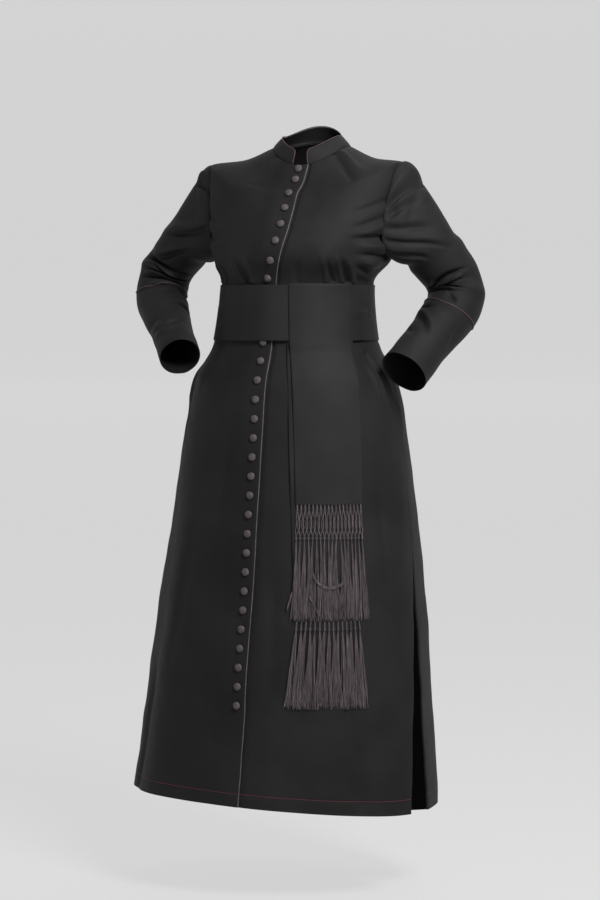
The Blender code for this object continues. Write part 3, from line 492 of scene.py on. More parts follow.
levelTable = np.linspace(0, ringLevel["neck"], 2600)
sideTable = ringAt(levelTable)[0]
frontTable = ringAt(levelTable)[1]
armpitRow = np.searchsorted(levelTable, ringLevel["armpit"])
middleLine = skin(levelTable, np.full(levelTable.shape, math.radians(40)))
lengthTable = np.concatenate([[0], np.cumsum(np.linalg.norm(np.diff(middleLine, axis=0), axis=1))])


def levelAt(z):
    return np.interp(z, sideTable[:armpitRow + 1], levelTable[:armpitRow + 1])


def levelOfFront(z):
    return np.interp(z, frontTable, levelTable)


def lengthAt(level):
    return np.interp(level, levelTable, lengthTable)


def levelOfLength(length):
    return np.interp(length, lengthTable, levelTable)


def widthAt(level):
    return ringAt(level)[3]


def wrapped(angle):
    return (angle + math.pi) % (2 * math.pi) - math.pi


def foldRise(z, angle):
    total = np.zeros(z.shape)
    for place, drift, top, foot, width, rise, kept in bodyFolds:
        share = (top - z) / (top - foot)
        away = wrapped(angle - np.radians(place + drift * share))
        bell = np.exp(-(away / math.radians(width)) ** 2)
        fade = 1 - (1 - kept) * ease(2 * share - 1)
        total += np.where((share > 0) & (share <= 1.05), rise * bell * ease(2 * share) * fade, 0)
    return total


def roundedPath(path):
    # Cuts the corners of a few points twice, so that a crease bends softly.
    for _ in range(2):
        cut = [path[0]]
        for start, end in zip(path, path[1:]):
            cut += [start * 0.75 + end * 0.25, start * 0.25 + end * 0.75]
        path = np.array(cut + [path[-1]])
    return path


def creaseRise(across, along, path, width, rise, lean, held):
    path = roundedPath(np.array(path, float))
    reach = 3.2 * width * (1 + abs(lean))
    low, high = path.min(axis=0) - reach, path.max(axis=0) + reach
    near = np.nonzero((across > low[0]) & (across < high[0]) & (along > low[1]) & (along < high[1]))[0]
    total = np.zeros(across.shape)
    if not len(near):
        return total
    x, y = across[near], along[near]
    spans = np.diff(path, axis=0)
    lengths = np.hypot(spans[:, 0], spans[:, 1])
    whole = lengths.sum()
    nearest = np.full(x.shape, 1e9)
    ran, side = np.zeros(x.shape), np.zeros(x.shape)
    passed = 0.0
    for start, span, length in zip(path, spans, lengths):
        dx, dy = x - start[0], y - start[1]
        share = np.clip((dx * span[0] + dy * span[1]) / length ** 2, 0, 1)
        away = np.hypot(dx - span[0] * share, dy - span[1] * share)
        closer = away < nearest
        nearest = np.where(closer, away, nearest)
        ran = np.where(closer, (passed + share * length) / whole, ran)
        side = np.where(closer, np.sign(span[0] * dy - span[1] * dx), side)
        passed += length
    fade = np.ones(x.shape)
    if held not in ("start", "both"):
        fade *= ease(ran / 0.4)
    if held not in ("end", "both"):
        fade *= ease((1 - ran) / 0.5)
    total[near] = rise * fade * np.exp(-(nearest / (width * (1 + lean * side))) ** 2)
    return total


def softWaves(across, along, seed, size, rise):
    dice = random.Random(seed)
    total = np.zeros(across.shape)
    for _ in range(6):
        turn = dice.uniform(0, math.pi)
        wave = size * dice.uniform(0.7, 1.6)
        run = across * math.cos(turn) + along * math.sin(turn)
        total += np.sin(2 * math.pi * (run / wave + dice.random()))
    return total * rise / 6


def bodyCreaseRise(level, angle, creases):
    width, along = widthAt(level), lengthAt(level)
    total = np.zeros(level.shape)
    for path, halfWidth, rise, lean, held in creases:
        places = np.array(path, float)
        origin = math.radians(places[0, 0])
        levels = places[:, 1]
        points = np.stack([wrapped(np.radians(places[:, 0]) - origin) * widthAt(levels), lengthAt(levels)], 1)
        total += creaseRise(wrapped(angle - origin) * width, along, points, halfWidth, rise, lean, held)
    return total


def fineRise(level, angle):
    # Creases and slow waves, which die out under the band.
    z = ringAt(level)[0]
    clear = ease((level - 7.98) / 0.10) + ease((7.01 - level) / 0.14)
    waves = softWaves(wrapped(angle) * widthAt(level), lengthAt(level), 5, 0.16, 0.0022)
    waves += softWaves(wrapped(angle) * widthAt(level), lengthAt(level), 8, 0.055, 0.0006)
    nearBack = ease((np.abs(wrapped(angle)) - 2.9) / 0.2)
    creases = bodySet["creaseDepth"] * bodyCreaseRise(level, angle, bodyCreases)
    return clear * (creases + waves * (1 - nearBack) * (z < -0.03))


def bodyPoint(level, angle, lift=0.0, fine=True):
    place = skin(level, angle)
    rise = lift + foldRise(place[:, 2], angle)
    if fine:
        rise = rise + fineRise(level, angle)
    return place + outward(level, angle) * rise[:, None]


# How a sheet of cloth is made
def makePiece(name, mesh, material, nodes):
    mesh.shade_smooth()
    piece = bpy.data.objects.new(name, mesh)
    bpy.context.scene.collection.objects.link(piece)
    for entry in (material if isinstance(material, list) else [material]):
        mesh.materials.append(entry)
    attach(piece, "root")
    if nodes:
        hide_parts(*nodes)
    return piece


def makeCloth(name, columns, rows, shape, thickness, materials, nodes, closed=False):
    # shape takes column and row numbers and gives points and the place on the weave.
    grid = bmesh.new()
    bmesh.ops.create_grid(grid, x_segments=columns, y_segments=rows, size=0.5)
    mesh = bpy.data.meshes.new(name)
    grid.to_mesh(mesh)
    flat = np.empty(len(mesh.vertices) * 3)
    mesh.vertices.foreach_get("co", flat)
    flat = flat.reshape(-1, 3)
    column = np.rint((flat[:, 0] + 0.5) * columns).astype(int)
    row = np.rint((flat[:, 1] + 0.5) * rows).astype(int)
    points, weave = shape(column, row)
    mesh.vertices.foreach_set("co", points.ravel())
    layer = mesh.uv_layers.new(name="weave")
    corners = np.empty(len(mesh.loops), dtype=np.int32)
    mesh.loops.foreach_get("vertex_index", corners)
    layer.data.foreach_set("uv", weave[corners].ravel())
    grid.clear()
    if closed:
        grid.from_mesh(mesh)
        bmesh.ops.remove_doubles(grid, verts=grid.verts, dist=0.00001)
        grid.to_mesh(mesh)
    grid.free()
    mesh.update()
    piece = makePiece(name, mesh, materials, nodes)
    solid = piece.modifiers.new("thickness", "SOLIDIFY")
    solid.thickness = thickness
    solid.offset = -1
    solid.material_offset = len(materials) - 1
    area = sum(face.area for face in mesh.polygons)
    print(f"  {name}: {len(mesh.polygons)} faces, {area:.4f} square metres")
    return piece


def edgedSpread(columns, length, startEdge, endEdge):
    # Distances across a panel: close steps along a sewn edge, even ones between, all in metres.
    startSteps = np.array([step for step, dip in startEdge])
    endSteps = np.array([step for step, dip in endEdge])
    inner = columns + 1 - len(startSteps) - len(endSteps)
    first = startSteps[-1] if len(startSteps) else 0.0
    last = endSteps[-1] if len(endSteps) else 0.0
    share = np.arange(1, inner + 1) / (inner + 1)
    if not len(startSteps):
        share = np.arange(0, inner) / inner
    if not len(endSteps):
        share = np.arange(1, inner + 1) / inner
    length = np.atleast_1d(length)[:, None]
    middle = first + (length - first - last) * share[None, :]
    ones = np.ones(length.shape)
    parts = [ones * startSteps[None, :]] if len(startSteps) else []
    parts.append(middle)
    if len(endSteps):
        parts.append(length - endSteps[::-1][None, :])
    dips = [dip for step, dip in startEdge] + [0.0] * inner + [dip for step, dip in reversed(endEdge)]
    return np.concatenate(parts, axis=1), np.array(dips)


sewnEdge = [(0.0, -0.0048), (0.0, -0.0012), (0.0004, -0.0005), (0.0011, -0.0002), (0.0026, 0.0)]
foldedEdge = [(0.0, -0.0006), (0.0006, -0.0002), (0.0018, 0.0)]


def armholeShare(level):
    height = (level - ringLevel["armpit"]) / (ringLevel["shoulderTip"] - ringLevel["armpit"])
    return np.arccos(1 - 2 * np.clip(height, 0, 1)) / math.pi


def pleatShare(level):
    return np.maximum((bodySet["pleatTop"] - ringAt(level)[0]) / (bodySet["pleatTop"] - bodyRings[0][1]), 0)


def sideAngle(level, part):
    hole = np.sin(math.pi * armholeShare(level))
    pleat = pleatShare(level)
    if part == "front":
        return math.pi / 2 - np.radians(bodySet["armholeFront"] * hole + bodySet["pleatFront"] * pleat)
    return math.pi / 2 + np.radians(bodySet["armholeBack"] * hole + bodySet["pleatBack"] * pleat)


def lapLift(level, angle):
    away = -widthAt(level) * np.sin(angle)
    ramp = bodySet["lapRamp"]
    return bodySet["lapLift"] * ease((ramp[0] - away) / (ramp[0] - ramp[1]))


def pocketLift(level, angle):
    z = ringAt(level)[0]
    top, foot = bodySet["pocket"]
    share = (top - z) / (top - foot)
    away = 90 - np.abs(np.degrees(angle))
    lift = bodySet["pocketLift"] * np.sin(math.pi * np.clip(share, 0, 1))
    return lift * np.maximum(1 - away / bodySet["pocketReach"], 0) ** 2


def hemDip(level):
    # The stitched line above the hem pulls the cloth in a little.
    away = lengthAt(level) - bodySet["hemStitch"]
    return -0.0005 * np.exp(-(away / 0.0022) ** 2)


def panelRows(skirtRows, chestRows):
    # Rows lie closer together above the hips, where the creases are.
    whole, hips = lengthTable[-1], 0.80
    even = np.concatenate([np.linspace(0, hips, skirtRows), np.linspace(hips, whole, chestRows)])
    hem = bodySet["hemStitch"] + np.linspace(-0.0045, 0.0045, 7)
    ends = [0.0008, 0.002, whole - 0.001, whole - 0.0025]
    return levelOfLength(np.unique(np.concatenate([even, hem, ends])))


def panelShape(startAngle, endAngle, startEdge, endEdge, lift, levels, columns):
    # A body panel between two edges, given as angles at each row; the seams turn inwards.
    levels = np.concatenate([levels, levels[-1:]])
    starts, ends = startAngle(levels), endAngle(levels)
    widths = widthAt(levels)
    table, dips = edgedSpread(columns, (ends - starts) * widths, startEdge, endEdge)
    angles = starts[:, None] + table / widths[:, None]

    def shape(column, row):
        level, angle = levels[row], angles[row, column]
        turned = np.where(row == len(levels) - 1, -0.004, 0.0)
        rise = lift(level, angle) + dips[column] + turned + hemDip(level)
        points = bodyPoint(level, angle, rise)
        centre = np.where(np.abs(wrapped(angle)) > math.pi / 2, math.pi, 0)
        weave = np.stack([wrapped(angle - centre) * widths[row], lengthAt(level)], 1)
        return points, weave

    return shape, len(levels) - 1


print("cutting the body")
frontLevels = panelRows(96, 190)
frontSet = {"columns": 84, "thickness": bodySet["cloth"], "edgeDip": 0.0032, "edgeReach": 0.0030}


def underLapDip(level, angle):
    # The under front sinks a little beside the lap's edge, which leaves a dark line there.
    away = widthAt(level) * np.sin(angle) - bodySet["lapOver"] - 0.0034
    return -frontSet["edgeDip"] * np.exp(-(away / frontSet["edgeReach"]) ** 2)


shape, rows = panelShape(
    lambda level: -sideAngle(level, "front") + bodySet["seam"],
    lambda level: np.arcsin(bodySet["lapOver"] / widthAt(level)),
    sewnEdge, foldedEdge, lambda level, angle: lapLift(level, angle) + pocketLift(level, angle),
    frontLevels, frontSet["columns"],
)
bodyCloth = [cloths["blackTwill"], cloths["lining"]]
frontRight = makeCloth("frontRight", frontSet["columns"], rows, shape, frontSet["thickness"], bodyCloth,
                       ["front_right"])
shape, rows = panelShape(
    lambda level: -np.arcsin(bodySet["lapUnder"] / widthAt(level)),
    lambda level: sideAngle(level, "front") - bodySet["seam"],
    foldedEdge, sewnEdge, lambda level, angle: pocketLift(level, angle) + underLapDip(level, angle),
    frontLevels, frontSet["columns"],
)
frontLeft = makeCloth("frontLeft", frontSet["columns"], rows, shape, frontSet["thickness"], bodyCloth,
                      ["front_left"])

backSet = {"columns": 76, "thickness": bodySet["cloth"]}


def noLift(level, angle):
    return np.zeros(level.shape)


shape, rows = panelShape(
    lambda level: -math.pi + bodySet["seam"] / widthAt(level),
    lambda level: -sideAngle(level, "back") - bodySet["seam"],
    sewnEdge, sewnEdge, noLift, frontLevels, backSet["columns"],
)
backRight = makeCloth("backRight", backSet["columns"], rows, shape, backSet["thickness"], bodyCloth,
                      ["back_right"])
shape, rows = panelShape(
    lambda level: sideAngle(level, "back") + bodySet["seam"],
    lambda level: math.pi - bodySet["seam"] / widthAt(level),
    sewnEdge, sewnEdge, noLift, frontLevels, backSet["columns"],
)
backLeft = makeCloth("backLeft", backSet["columns"], rows, shape, backSet["thickness"], bodyCloth,
                     ["back_left"])


# Inner cloth of the side pleats, coloured near-black as painted shade of the deep folds
pleatSet = {"columns": 40, "rows": 110, "hold": 3.5, "clear": 0.0018}


def pleatShape(side):
    top = bodySet["pleatTop"] + 0.004
    heights = np.linspace(bodyRings[0][1], top, pleatSet["rows"] + 1)
    levels = levelAt(heights)
    profile = np.array([
        (-0.9, 0.0), (-0.15, 0.0), (0.2, 0.55), (0.5, 1.0), (0.8, 0.55), (1.15, 0.0), (1.9, 0.0),
    ])

    def shape(column, row):
        share = column / pleatSet["columns"]
        share = share if side > 0 else 1 - share
        place = share * (len(profile) - 1)
        values = steadyCurve(profile, place)
        across, sunk = values[:, 0], values[:, 1]
        level = levels[row]
        front, back = sideAngle(level, "front"), sideAngle(level, "back")
        hold = math.radians(pleatSet["hold"])
        angle = front + (back - front) * np.clip(across, 0, 1)
        angle = angle + np.minimum(across, 0) * hold + np.maximum(across - 1, 0) * hold
        sink = bodySet["pleatDepth"] * sunk * ease(1.3 * pleatShare(level) + 0.05)
        points = bodyPoint(level, side * angle, -bodySet["cloth"] - pleatSet["clear"] - sink)
        return points, np.stack([share * 0.17, lengthAt(level)], 1)

    return shape


# The pleats' inner cloth takes the painted-shade material.
pleatShadeCloth = [cloths["pleatPaintedShade"]]
pleatRight = makeCloth("pleatRight", pleatSet["columns"], pleatSet["rows"], pleatShape(-1), bodySet["cloth"],
                       pleatShadeCloth, ["pleat_right"])
pleatLeft = makeCloth("pleatLeft", pleatSet["columns"], pleatSet["rows"], pleatShape(1), bodySet["cloth"],
                      pleatShadeCloth, ["pleat_left"])


# Threads and cords
def threadMesh(name, paths, thickness, material, nodes, closed=False, sides=0):
    # One piece from many threads: each path is a list of points, with its share of the thickness.
    curve = bpy.data.curves.new(name, "CURVE")
    curve.dimensions = "3D"
    curve.bevel_depth = thickness
    curve.bevel_resolution = sides
    curve.use_fill_caps = not closed
    for points, radii in paths:
        spline = curve.splines.new("POLY")
        spline.points.add(len(points) - 1)
        flat = np.concatenate([points, np.ones((len(points), 1))], axis=1)
        spline.points.foreach_set("co", flat.ravel())
        spline.points.foreach_set("radius", np.broadcast_to(radii, (len(points),)).astype(float).copy())
        spline.use_cyclic_u = closed
    holder = bpy.data.objects.new(name + "Curve", curve)
    bpy.context.scene.collection.objects.link(holder)
    graph = bpy.context.evaluated_depsgraph_get()
    mesh = bpy.data.meshes.new_from_object(holder.evaluated_get(graph))
    mesh.name = name
    mesh.materials.clear()
    bpy.data.objects.remove(holder)
    return makePiece(name, mesh, material, nodes)


# Stand collar
collarSet = {
    "gap": 0.016, "corner": 0.009, "seam": 0.0010, "tall": 0.031, "topWidth": 0.060, "topFront": 0.067,
    "topBack": 0.054, "sideHeight": 0.021, "frontHeight": -0.009, "backHeight": 0.044,
    "columns": 150, "rows": 14, "flare": 0.0016, "piping": 0.0008,
}
collarStart = math.asin(collarSet["gap"] / 0.078)


def collarPoint(angle, share, lift=0.0):
    neck = np.full(angle.shape, float(ringLevel["neck"]))
    ahead, across = np.cos(angle), np.sin(angle)
    onLap = (ahead > 0) & (across < 0)
    foot = bodyPoint(neck, angle, np.where(onLap, lapLift(neck, angle), 0.0), False)
    depth = np.where(ahead > 0, collarSet["topFront"], collarSet["topBack"])
    x, y = collarSet["topWidth"] * across, -depth * ahead
    turn = math.radians(5)
    top = np.where(ahead > 0, collarSet["frontHeight"], collarSet["backHeight"])
    z = collarSet["sideHeight"] + (top - collarSet["sideHeight"]) * ahead ** 2
    flat = np.stack([x * math.cos(turn) - y * math.sin(turn), x * math.sin(turn) + y * math.cos(turn), z], 1)
    foot[:, 2] += collarSet["seam"]
    point = foot + (flat - foot) * share[:, None]
    out = point.copy()
    out[:, 2] = 0
    away = np.minimum(angle - collarStart, 2 * math.pi - collarStart - angle) * 0.075
    flare = collarSet["flare"] * np.exp(-(away / 0.014) ** 2) * share ** 2
    belly = 0.0007 * np.sin(math.pi * np.clip(share, 0, 1))
    return point + unit(out) * (lift + flare + belly)[:, None]


def collarHeight(angle):
    away = np.minimum(angle - collarStart, 2 * math.pi - collarStart - angle) * 0.075
    corner = collarSet["corner"]
    lost = corner - np.sqrt(np.maximum(corner ** 2 - np.maximum(corner - away, 0) ** 2, 0))
    return np.where(away >= corner, 1.0, 1 - lost / collarSet["tall"])


def collarSpread(count):
    edge = np.array([0, 0.0006, 0.002, 0.0045, 0.008, 0.0125, 0.018, 0.024])
    middle = np.linspace(0.024, 1 - 0.024, count + 1 - 2 * (len(edge) - 1))
    shares = np.concatenate([edge[:-1], middle, (1 - edge[:-1])[::-1]])
    return collarStart + (2 * math.pi - 2 * collarStart) * shares


collarAngles = collarSpread(collarSet["columns"])


def collarShape(column, row):
    angle = collarAngles[column]
    share = np.where(row == 0, -0.08, np.where(row == 1, -0.02, row / collarSet["rows"]))
    turned = np.where(row == 0, -0.0024, np.where(row == 1, -0.0012, 0.0))
    points = collarPoint(angle, collarHeight(angle) * share, turned)
    return points, np.stack([angle * 0.075, share * collarSet["tall"]], 1)


collar = makeCloth("standCollar", collarSet["columns"], collarSet["rows"], collarShape, bodySet["cloth"],
                   bodyCloth, ["collar"])
rise = np.linspace(0.04, 0.98, 8)
startEdge = collarPoint(np.full(8, collarAngles[0]), rise * collarHeight(collarAngles[:1]))
endEdge = collarPoint(np.full(8, collarAngles[-1]), (rise * collarHeight(collarAngles[:1]))[::-1])
collarPath = np.concatenate([startEdge, collarPoint(collarAngles, collarHeight(collarAngles)), endEdge])
along = unit(np.gradient(collarPath, axis=0))
inward = -collarPath.copy()
inward[:, 2] = 0
inward = unit(inward)
collarPath = collarPath + unit(np.cross(along, inward)) * 0.0010 + inward * bodySet["cloth"] / 2
collarPiping = threadMesh("collarPiping", [(collarPath, 1.0)], collarSet["piping"], threads["winePiping"],
                          ["collar_piping"], sides=2)

pipingSet = {"radius": 0.0009, "points": 420}
frontLine = levelOfLength(np.linspace(0, lengthTable[-1], pipingSet["points"]))
edgeAngle = np.arcsin((bodySet["lapOver"] + pipingSet["radius"] + 0.0002) / widthAt(frontLine))
frontPath = bodyPoint(frontLine, edgeAngle, bodySet["lapLift"] - bodySet["cloth"] / 2)
frontPiping = threadMesh("frontPiping", [(frontPath, 1.0)], pipingSet["radius"], threads["piping"],
                         ["front_piping"], sides=2)
print("collar and piping sewn")


# Covered buttons and buttonholes
buttonSet = {
    "radius": 0.0077, "rise": 0.0042, "back": 0.0012, "gathers": 18, "touch": 0.0009,
    "chest": [-0.048, -0.070, -0.098, -0.127, -0.159, -0.192, -0.229, -0.264],
    "covered": [-0.308, -0.350], "skirtTop": -0.3925, "skirtPitch": 0.0376, "skirt": 20,
}


def coveredButton():
    # A domed button: cloth gathered under its edge, a low rim and a soft crown.
    work = bmesh.new()
    bmesh.ops.create_uvsphere(work, u_segments=36, v_segments=14, radius=1)
    for vertex in work.verts:
        x, y, z = vertex.co
        turn = math.atan2(y, x)
        edge = math.exp(-((abs(z)) / 0.35) ** 2)
        reach = buttonSet["radius"] * (1 + 0.014 * edge * math.sin(buttonSet["gathers"] * turn))
        if z > 0:
            height = buttonSet["rise"] * z ** 1.15 + 0.0002 * math.sin(3 * turn + 1) * edge
        else:
            height = buttonSet["back"] * z
        vertex.co = (x * reach, y * reach, height)
    mesh = bpy.data.meshes.new("coveredButton")
    work.to_mesh(mesh)
    work.free()
    return mesh


buttonHeights = buttonSet["chest"] + buttonSet["covered"]
for number in range(buttonSet["skirt"]):
    buttonHeights.append(buttonSet["skirtTop"] - buttonSet["skirtPitch"] * number)
buttonLevels = levelOfFront(np.array(buttonHeights))
straight = np.zeros(len(buttonHeights))
buttonOut = outward(buttonLevels, straight)
buttonSeats = bodyPoint(buttonLevels, straight, bodySet["lapLift"])
hollow = np.zeros(len(buttonHeights))
for reach in (-buttonSet["radius"], buttonSet["radius"]):
    beside = bodyPoint(levelOfFront(np.array(buttonHeights) + reach), straight, bodySet["lapLift"])
    hollow = np.maximum(hollow, ((beside - buttonSeats) * buttonOut).sum(axis=1))
buttonSeats = buttonSeats + buttonOut * (hollow + buttonSet["back"] + buttonSet["touch"])[:, None]
oneButton = coveredButton()
allButtons = bmesh.new()
dice = random.Random(31)
for seat, out in zip(buttonSeats, buttonOut):
    before = len(allButtons.verts)
    allButtons.from_mesh(oneButton)
    allButtons.verts.ensure_lookup_table()
    fresh = allButtons.verts[before:]
    facing = Vector(out) + Vector((dice.uniform(-0.06, 0.06), 0, dice.uniform(-0.06, 0.06)))
    turn = facing.to_track_quat("Z", "Y").to_matrix().to_4x4() @ Matrix.Rotation(dice.uniform(0, 6), 4, "Z")
    bmesh.ops.transform(allButtons, matrix=Matrix.Translation(seat) @ turn, verts=fresh)
buttonMesh = bpy.data.meshes.new("coveredButtons")
allButtons.to_mesh(buttonMesh)
allButtons.free()
bpy.data.meshes.remove(oneButton)
buttons = makePiece("coveredButtons", buttonMesh, threads["buttonCloth"],
                    [f"button_{number + 1:02d}" for number in range(len(buttonHeights))])

holeSet = {"length": 0.0190, "width": 0.0011, "shift": -0.0035, "thread": 0.00050}
holes = []
for level in buttonLevels:
    turn = np.linspace(0, 2 * math.pi, 26, endpoint=False)
    across = holeSet["shift"] + holeSet["length"] / 2 * np.clip(np.cos(turn) * 1.06, -1, 1)
    up = holeSet["width"] * np.sin(turn)
    around = np.full(turn.shape, level) + up / (lengthAt(level + 0.05) - lengthAt(level - 0.05)) * 0.1
    angle = np.arcsin(across / widthAt(around))
    holes.append((bodyPoint(around, angle, lapLift(around, angle) + 0.0002), 1.0))
buttonholes = threadMesh("buttonholes", holes, holeSet["thread"], threads["darkThread"], [],
                         closed=True)
print("buttons sewn on")


# Waist band
bandSet = {
    "top": -0.278, "bottom": -0.390, "cloth": 0.0018, "lift": 0.0026, "frontLift": 0.0038, "front": (-32, 84),
    "fade": 16, "buttonLift": 0.0050, "buttonSpread": 0.032, "columns": 250, "rows": 34,
}


def bandLift(level, angle):
    away = wrapped(angle)
    turn = np.degrees(away)
    inside = np.minimum(turn - bandSet["front"][0], bandSet["front"][1] - turn) / bandSet["fade"]
    bump = bandSet["buttonLift"] * np.exp(-(away * widthAt(level) / bandSet["buttonSpread"]) ** 2)
    return bandSet["lift"] + bandSet["frontLift"] * ease(inside) + bump


bandSteps, bandDips = edgedSpread(bandSet["rows"], bandSet["top"] - bandSet["bottom"], foldedEdge, foldedEdge)
bandHeights = bandSet["bottom"] + bandSteps[0]


def bandShape(column, row):
    level = levelAt(bandHeights[row])
    angle = 2 * math.pi * column / bandSet["columns"]
    rise = bandLift(level, angle) + bandDips[row] + bodyCreaseRise(level, angle, bandCreases)
    rise = rise + softWaves(angle * 0.16, bandHeights[row], 3, 0.09, 0.0006) * np.sin(angle / 2) ** 2
    points = skin(level, angle % (2 * math.pi)) + outward(level, angle) * rise[:, None]
    return points, np.stack([angle * 0.155, bandHeights[row]], 1)


bandCloth = [cloths["bandTwill"]]
waistBand = makeCloth("waistBand", bandSet["columns"], bandSet["rows"], bandShape, bandSet["cloth"],
                      bandCloth, ["waist_band"], closed=True)

# The band's two hanging ends: height, degrees of both edges, lift of the outer face.
fallSet = {
    "front": np.array([
        (-0.2740, 16.0, 62.5, 0.0004), (-0.2758, 16.0, 62.5, 0.0020), (-0.2790, 16.0, 62.5, 0.0027),
        (-0.335, 17.0, 62.0, 0.0027), (-0.392, 18.0, 61.5, 0.0027), (-0.430, 18.5, 58.5, 0.0062),
        (-0.500, 19.5, 56.5, 0.0060), (-0.610, 20.5, 54.8, 0.0058), (-0.711, 21.5, 53.5, 0.0058),
    ]),
    "under": np.array([
        (-0.352, 15.5, 63.0, 0.0032), (-0.392, 16.0, 62.0, 0.0032), (-0.430, 16.2, 58.0, 0.0030),
        (-0.500, 17.0, 56.0, 0.0028), (-0.610, 18.0, 54.0, 0.0028), (-0.725, 19.5, 52.5, 0.0028),
        (-0.840, 21.0, 51.5, 0.0028), (-0.940, 22.0, 51.0, 0.0028),
    ]),
    "drop": 0.036, "columns": 40, "rows": 120,
}


def fallValues(table, z):
    return [np.interp(-z, -table[:, 0], table[:, index]) for index in (1, 2, 3)]


def onFall(table, z, share, lift, aboveBand):
    near, far, rowLift = fallValues(table, z)
    level = levelAt(z)
    angle = np.radians(near + (far - near) * share)
    rise = rowLift + lift
    if aboveBand:
        onBand = ease((z - bandSet["bottom"] + fallSet["drop"]) / fallSet["drop"])
        rise = rise + bandLift(level, angle) * onBand
    return bodyPoint(level, angle, rise, False)


def fallShape(table, seed, aboveBand):
    columns, rows = fallSet["columns"], fallSet["rows"]
    heights = np.linspace(table[-1, 0], table[0, 0], rows - 3)
    footRows = table[-1, 0] + np.array([0.0006, 0.0018])
    heights = np.unique(np.concatenate([heights, footRows, [-0.2752, -0.2768]]))
    heights = heights[heights <= table[0, 0]]
    spread, dips = edgedSpread(columns, 0.135, foldedEdge, foldedEdge)

    def shape(column, row):
        z = heights[row]
        share = spread[0][column] / 0.135
        down = ease((bandSet["bottom"] - z) / 0.10)
        waves = softWaves(share * 0.14, z, seed, 0.11, 0.0011) * (0.25 + 0.75 * down)
        curl = 0.0012 * down * np.exp(-(share / 0.06) ** 2) * (0.5 + 0.5 * np.sin(z * 21 + seed))
        curl += 0.0010 * down * np.exp(-((1 - share) / 0.06) ** 2) * (0.5 + 0.5 * np.sin(z * 17 + 2 + seed))
        foot = np.where(row == 0, -0.0005, np.where(row == 1, -0.0002, 0.0))
        points = onFall(table, z, share, waves + curl + dips[column] + foot, aboveBand)
        return points, np.stack([share * 0.14, z], 1)

    return shape, len(heights) - 1


shape, rows = fallShape(fallSet["front"], 4, True)
frontFall = makeCloth("frontFall", fallSet["columns"], rows, shape, bandSet["cloth"], bandCloth,
                      ["front_fall"])
shape, rows = fallShape(fallSet["under"], 9, False)
underFall = makeCloth("underFall", fallSet["columns"], rows, shape, bandSet["cloth"], bandCloth,
                      ["under_fall"])
print("band and falls tied")


# Knotted fringes
upperSet = {
    "cords": 18, "spread": 1.0, "lift": 0.0048, "drop": 0.224, "ply": 0.00130,
    "thread": 0.00070, "threads": 16, "fan": 0.78, "fanGrowth": 0.85,
    "firstKnot": 0.026, "parted": 0.044, "secondKnot": 0.064, "seed": 12,
    # how far each tassel leans, in cord pitches, half way down
    "leans": [0.10, -0.15, 0.05, 0.35, -0.25, 0.10, 0.30, -0.20, 0.15, -0.35, -0.45, 0.55, 0.30, -0.10,
              0.15, 0.0, 0.10, -0.10],
    # share across and drop where each loose strand starts and ends, and its sag
    "loose": [(0.26, 0.133, 0.66, 0.152, 0.020), (0.22, 0.180, 0.34, 0.216, -0.002),
              (0.60, 0.176, 0.68, 0.219, 0.002), (0.00, 0.172, -0.05, 0.203, 0.0)],
}
lowerSet = {
    "cords": 15, "spread": 2.1, "lift": 0.0030, "drop": 0.168, "ply": 0.00120,
    "thread": 0.00076, "threads": 22, "fan": 0.82, "fanGrowth": 0.62,
    "root": 0.014, "seed": 7,
    "leans": [0.0, 0.25, -0.25, 0.30, -0.15, 0.35, -0.30, 0.05, 0.30, -0.30, 0.10, 0.25, -0.25, 0.10, 0.0],
}


def fringePoint(settings, table, share, drop, lift):
    foot = table[-1]
    opened = settings["spread"] * drop / settings["drop"]
    z = foot[0] - drop
    angle = np.radians(foot[1] - opened + (foot[2] - foot[1] + 2 * opened) * share)
    return bodyPoint(levelAt(z), angle, lift, False)


def twistedPair(settings, table, shares, drops, lift, phase, gap):
    # Two plies wound round each other along a path of shares and drops.
    count = len(drops)
    turn = phase + np.cumsum(np.concatenate([[0], np.abs(np.diff(drops))])) / 0.0052 * 2 * math.pi / 2
    pair = []
    for half in (0, math.pi):
        side = gap * np.cos(turn + half) / 0.14
        height = lift + gap * np.sin(turn + half)
        pair.append((fringePoint(settings, table, shares + side, drops, height), np.ones(count)))
    return pair


def knotWrap(settings, table, share, drop, lift, reach):
    # A short tight winding that gathers the cords.
    turn = np.linspace(0, 2 * math.pi * 2.5, 22)
    drops = drop + np.linspace(-0.0022, 0.0022, len(turn))
    side = share + reach * np.cos(turn) / 0.14
    return fringePoint(settings, table, side, drops, lift + reach * np.sin(turn)), np.full(len(turn), 0.8)


def tassel(settings, table, share, top, lean, dice, paths, lift):
    # Threads that fall from one knot, part a little and end unevenly.
    pitch = 1 / settings["cords"]
    for _ in range(settings["threads"]):
        end = settings["drop"] + dice.uniform(-0.006, 0.004)
        run = np.linspace(0, 1, 13)
        drops = top + (end - top) * run
        fan = dice.uniform(-1, 1) * settings["fan"] * pitch
        swell = np.sin(np.pi * np.minimum(run * 1.15, 1)) * lean * pitch
        wobble = 0.08 * pitch * np.sin(run * dice.uniform(5, 11) + dice.uniform(0, 6)) * run
        flick = dice.uniform(-0.25, 0.35) * pitch * np.clip(run * 8 - 7, 0, 1)
        shares = share + fan * run ** settings["fanGrowth"] + swell + wobble + flick
        depth = lift + dice.uniform(-0.0014, 0.0018) * np.minimum(run * 4, 1)
        radii = 0.95 + 0.10 * np.sin(run * 3 + dice.uniform(0, 6))
        radii[-1] *= 0.6
        paths.append((fringePoint(settings, table, shares, drops, depth), radii))


